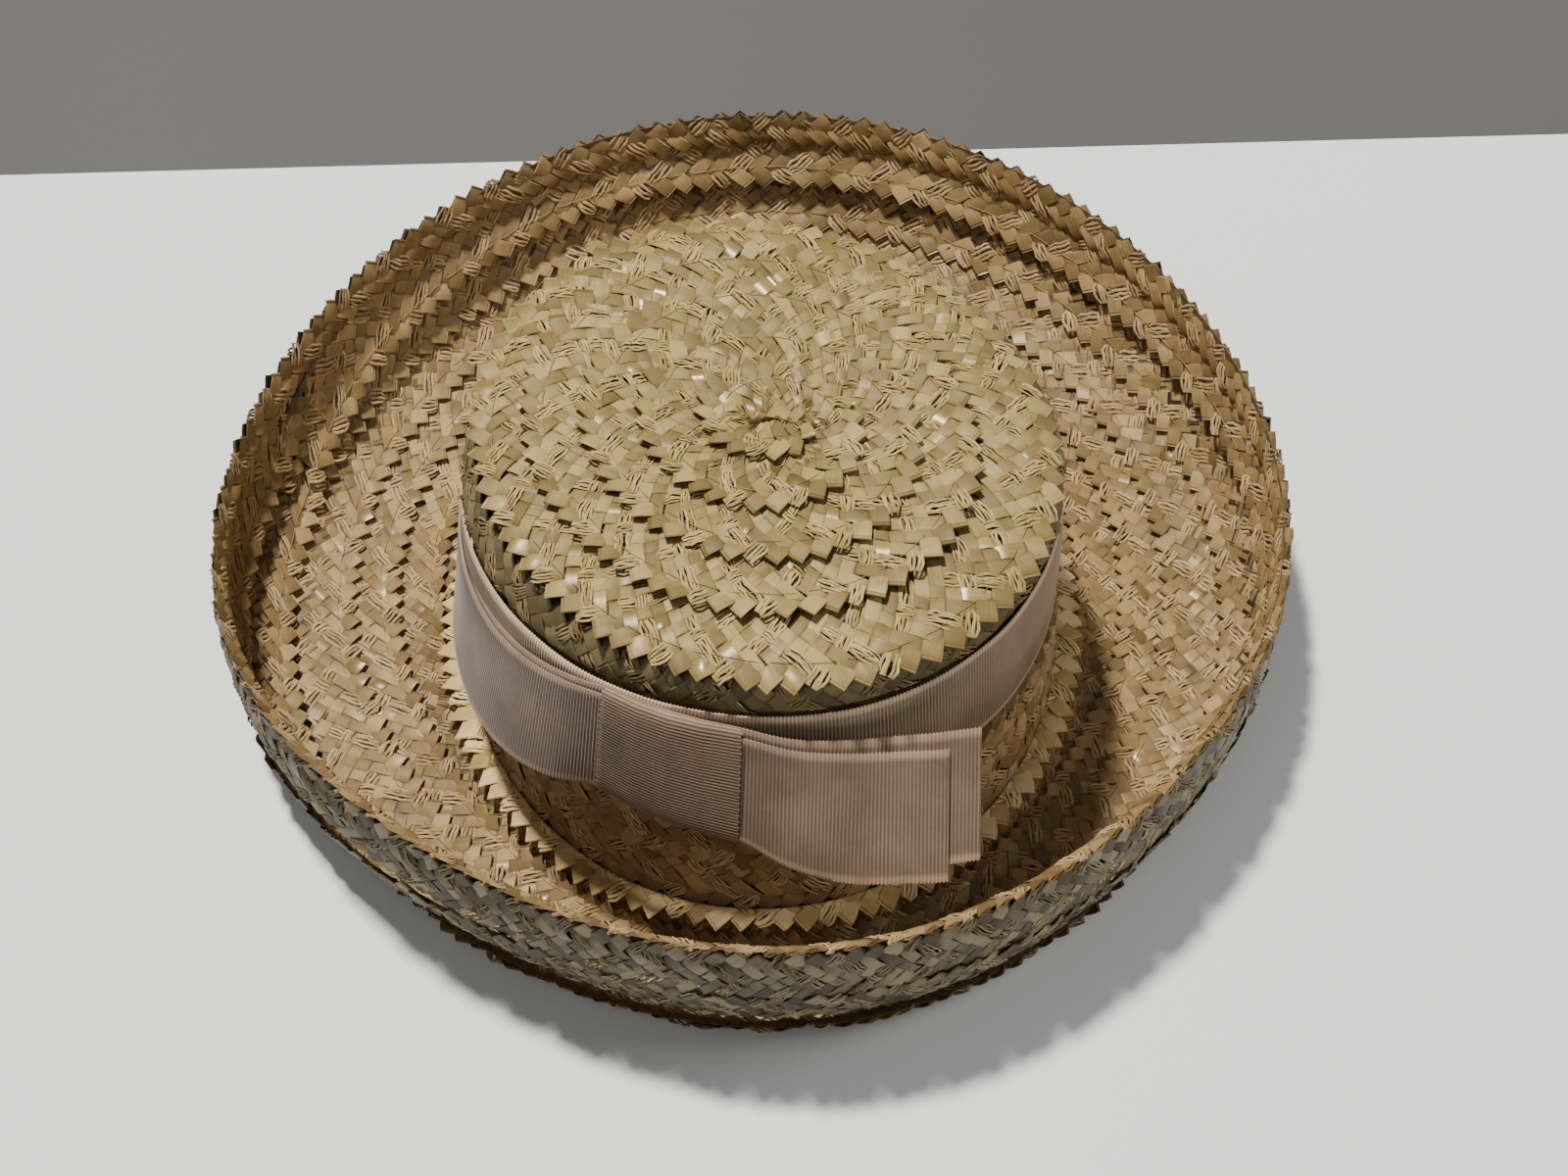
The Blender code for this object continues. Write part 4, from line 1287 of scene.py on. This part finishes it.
# ---- table, backdrop, lights, camera ----


def flat_stage(name, corners, material):
    """One flat quad of the stage."""
    mesh = bpy.data.meshes.new(name)
    mesh.from_pydata(corners, [], [(0, 1, 2, 3)])
    mesh.materials.append(material)
    obj = bpy.data.objects.new(name, mesh)
    bpy.context.scene.collection.objects.link(obj)
    return obj


def plain_material(name, code, rough):
    """Painted board: flat colour with a faint mottling."""
    mat, tree, shader = new_material(name)
    where = add_node(tree, "ShaderNodeTexCoord")
    cloud = add_node(tree, "ShaderNodeTexNoise", {"Scale": 4.0, "Detail": 2.0}, {"Vector": where.outputs["Object"]})
    tint = add_node(tree, "ShaderNodeMapRange", {"To Min": 0.96, "To Max": 1.03}, {"Value": cloud.outputs["Fac"]})
    colour = add_node(tree, "ShaderNodeVectorMath", {"operation": "SCALE", 0: hex_linear(code)[:3]},
                      {"Scale": tint.outputs[0]})
    tree.links.new(colour.outputs[0], shader.inputs["Base Color"])
    shader.inputs["Roughness"].default_value = rough
    return mat


table_paint = plain_material("table_paint", "#d4d8d8", 0.55)
backdrop_paint = plain_material("backdrop_paint", "#4f4f4b", 0.8)
flat_stage("table", [(-2.5, -2.5, -0.0004), (2.5, -2.5, -0.0004), (2.5, 0.280, -0.0004), (-2.5, 0.098, -0.0004)], table_paint)
flat_stage("backdrop", [(-4, -4, -0.25), (4, -4, -0.25), (4, 4, -0.25), (-4, 4, -0.25)], backdrop_paint)


def area_light(name, place, target, size, power, colour):
    """Soft box that faces its target."""
    data = bpy.data.lights.new(name, "AREA")
    data.shape = "RECTANGLE"
    data.size = size[0]
    data.size_y = size[1]
    data.energy = power
    data.color = colour
    obj = bpy.data.objects.new(name, data)
    bpy.context.scene.collection.objects.link(obj)
    from mathutils import Vector
    way = Vector(target) - Vector(place)
    obj.rotation_euler = way.to_track_quat("-Z", "Y").to_euler()
    obj.location = place
    return obj


area_light("main", (-0.64, 0.74, 2.80), (0, 0, 0.05), (0.26, 0.26), 178.0, (1.0, 0.97, 0.92))
area_light("side", (2.2, 0.3, 1.5), (0, 0, 0.05), (1.2, 1.2), 27.0, (1.0, 0.98, 0.95))
area_light("front", (-0.3, -1.3, 2.0), (0, 0, 0.05), (1.6, 1.2), 9.0, (1.0, 0.97, 0.92))
world = bpy.data.worlds.new("room")
bpy.context.scene.world = world
world.use_nodes = True
world.node_tree.nodes["Background"].inputs[0].default_value = (0.72, 0.82, 1.0, 1.0)
world.node_tree.nodes["Background"].inputs[1].default_value = 0.105

camera_data = bpy.data.cameras.new("photo_camera")
camera_data.sensor_width = 36.0
camera_data.lens = 54.09
camera = bpy.data.objects.new("photo_camera", camera_data)
bpy.context.scene.collection.objects.link(camera)
camera.location = (0.0060 + AXIS_X, -0.4097 + AXIS_Y, 0.6275)
camera.rotation_euler = (math.radians(34.3), 0.0, 0.0)
bpy.context.scene.camera = camera
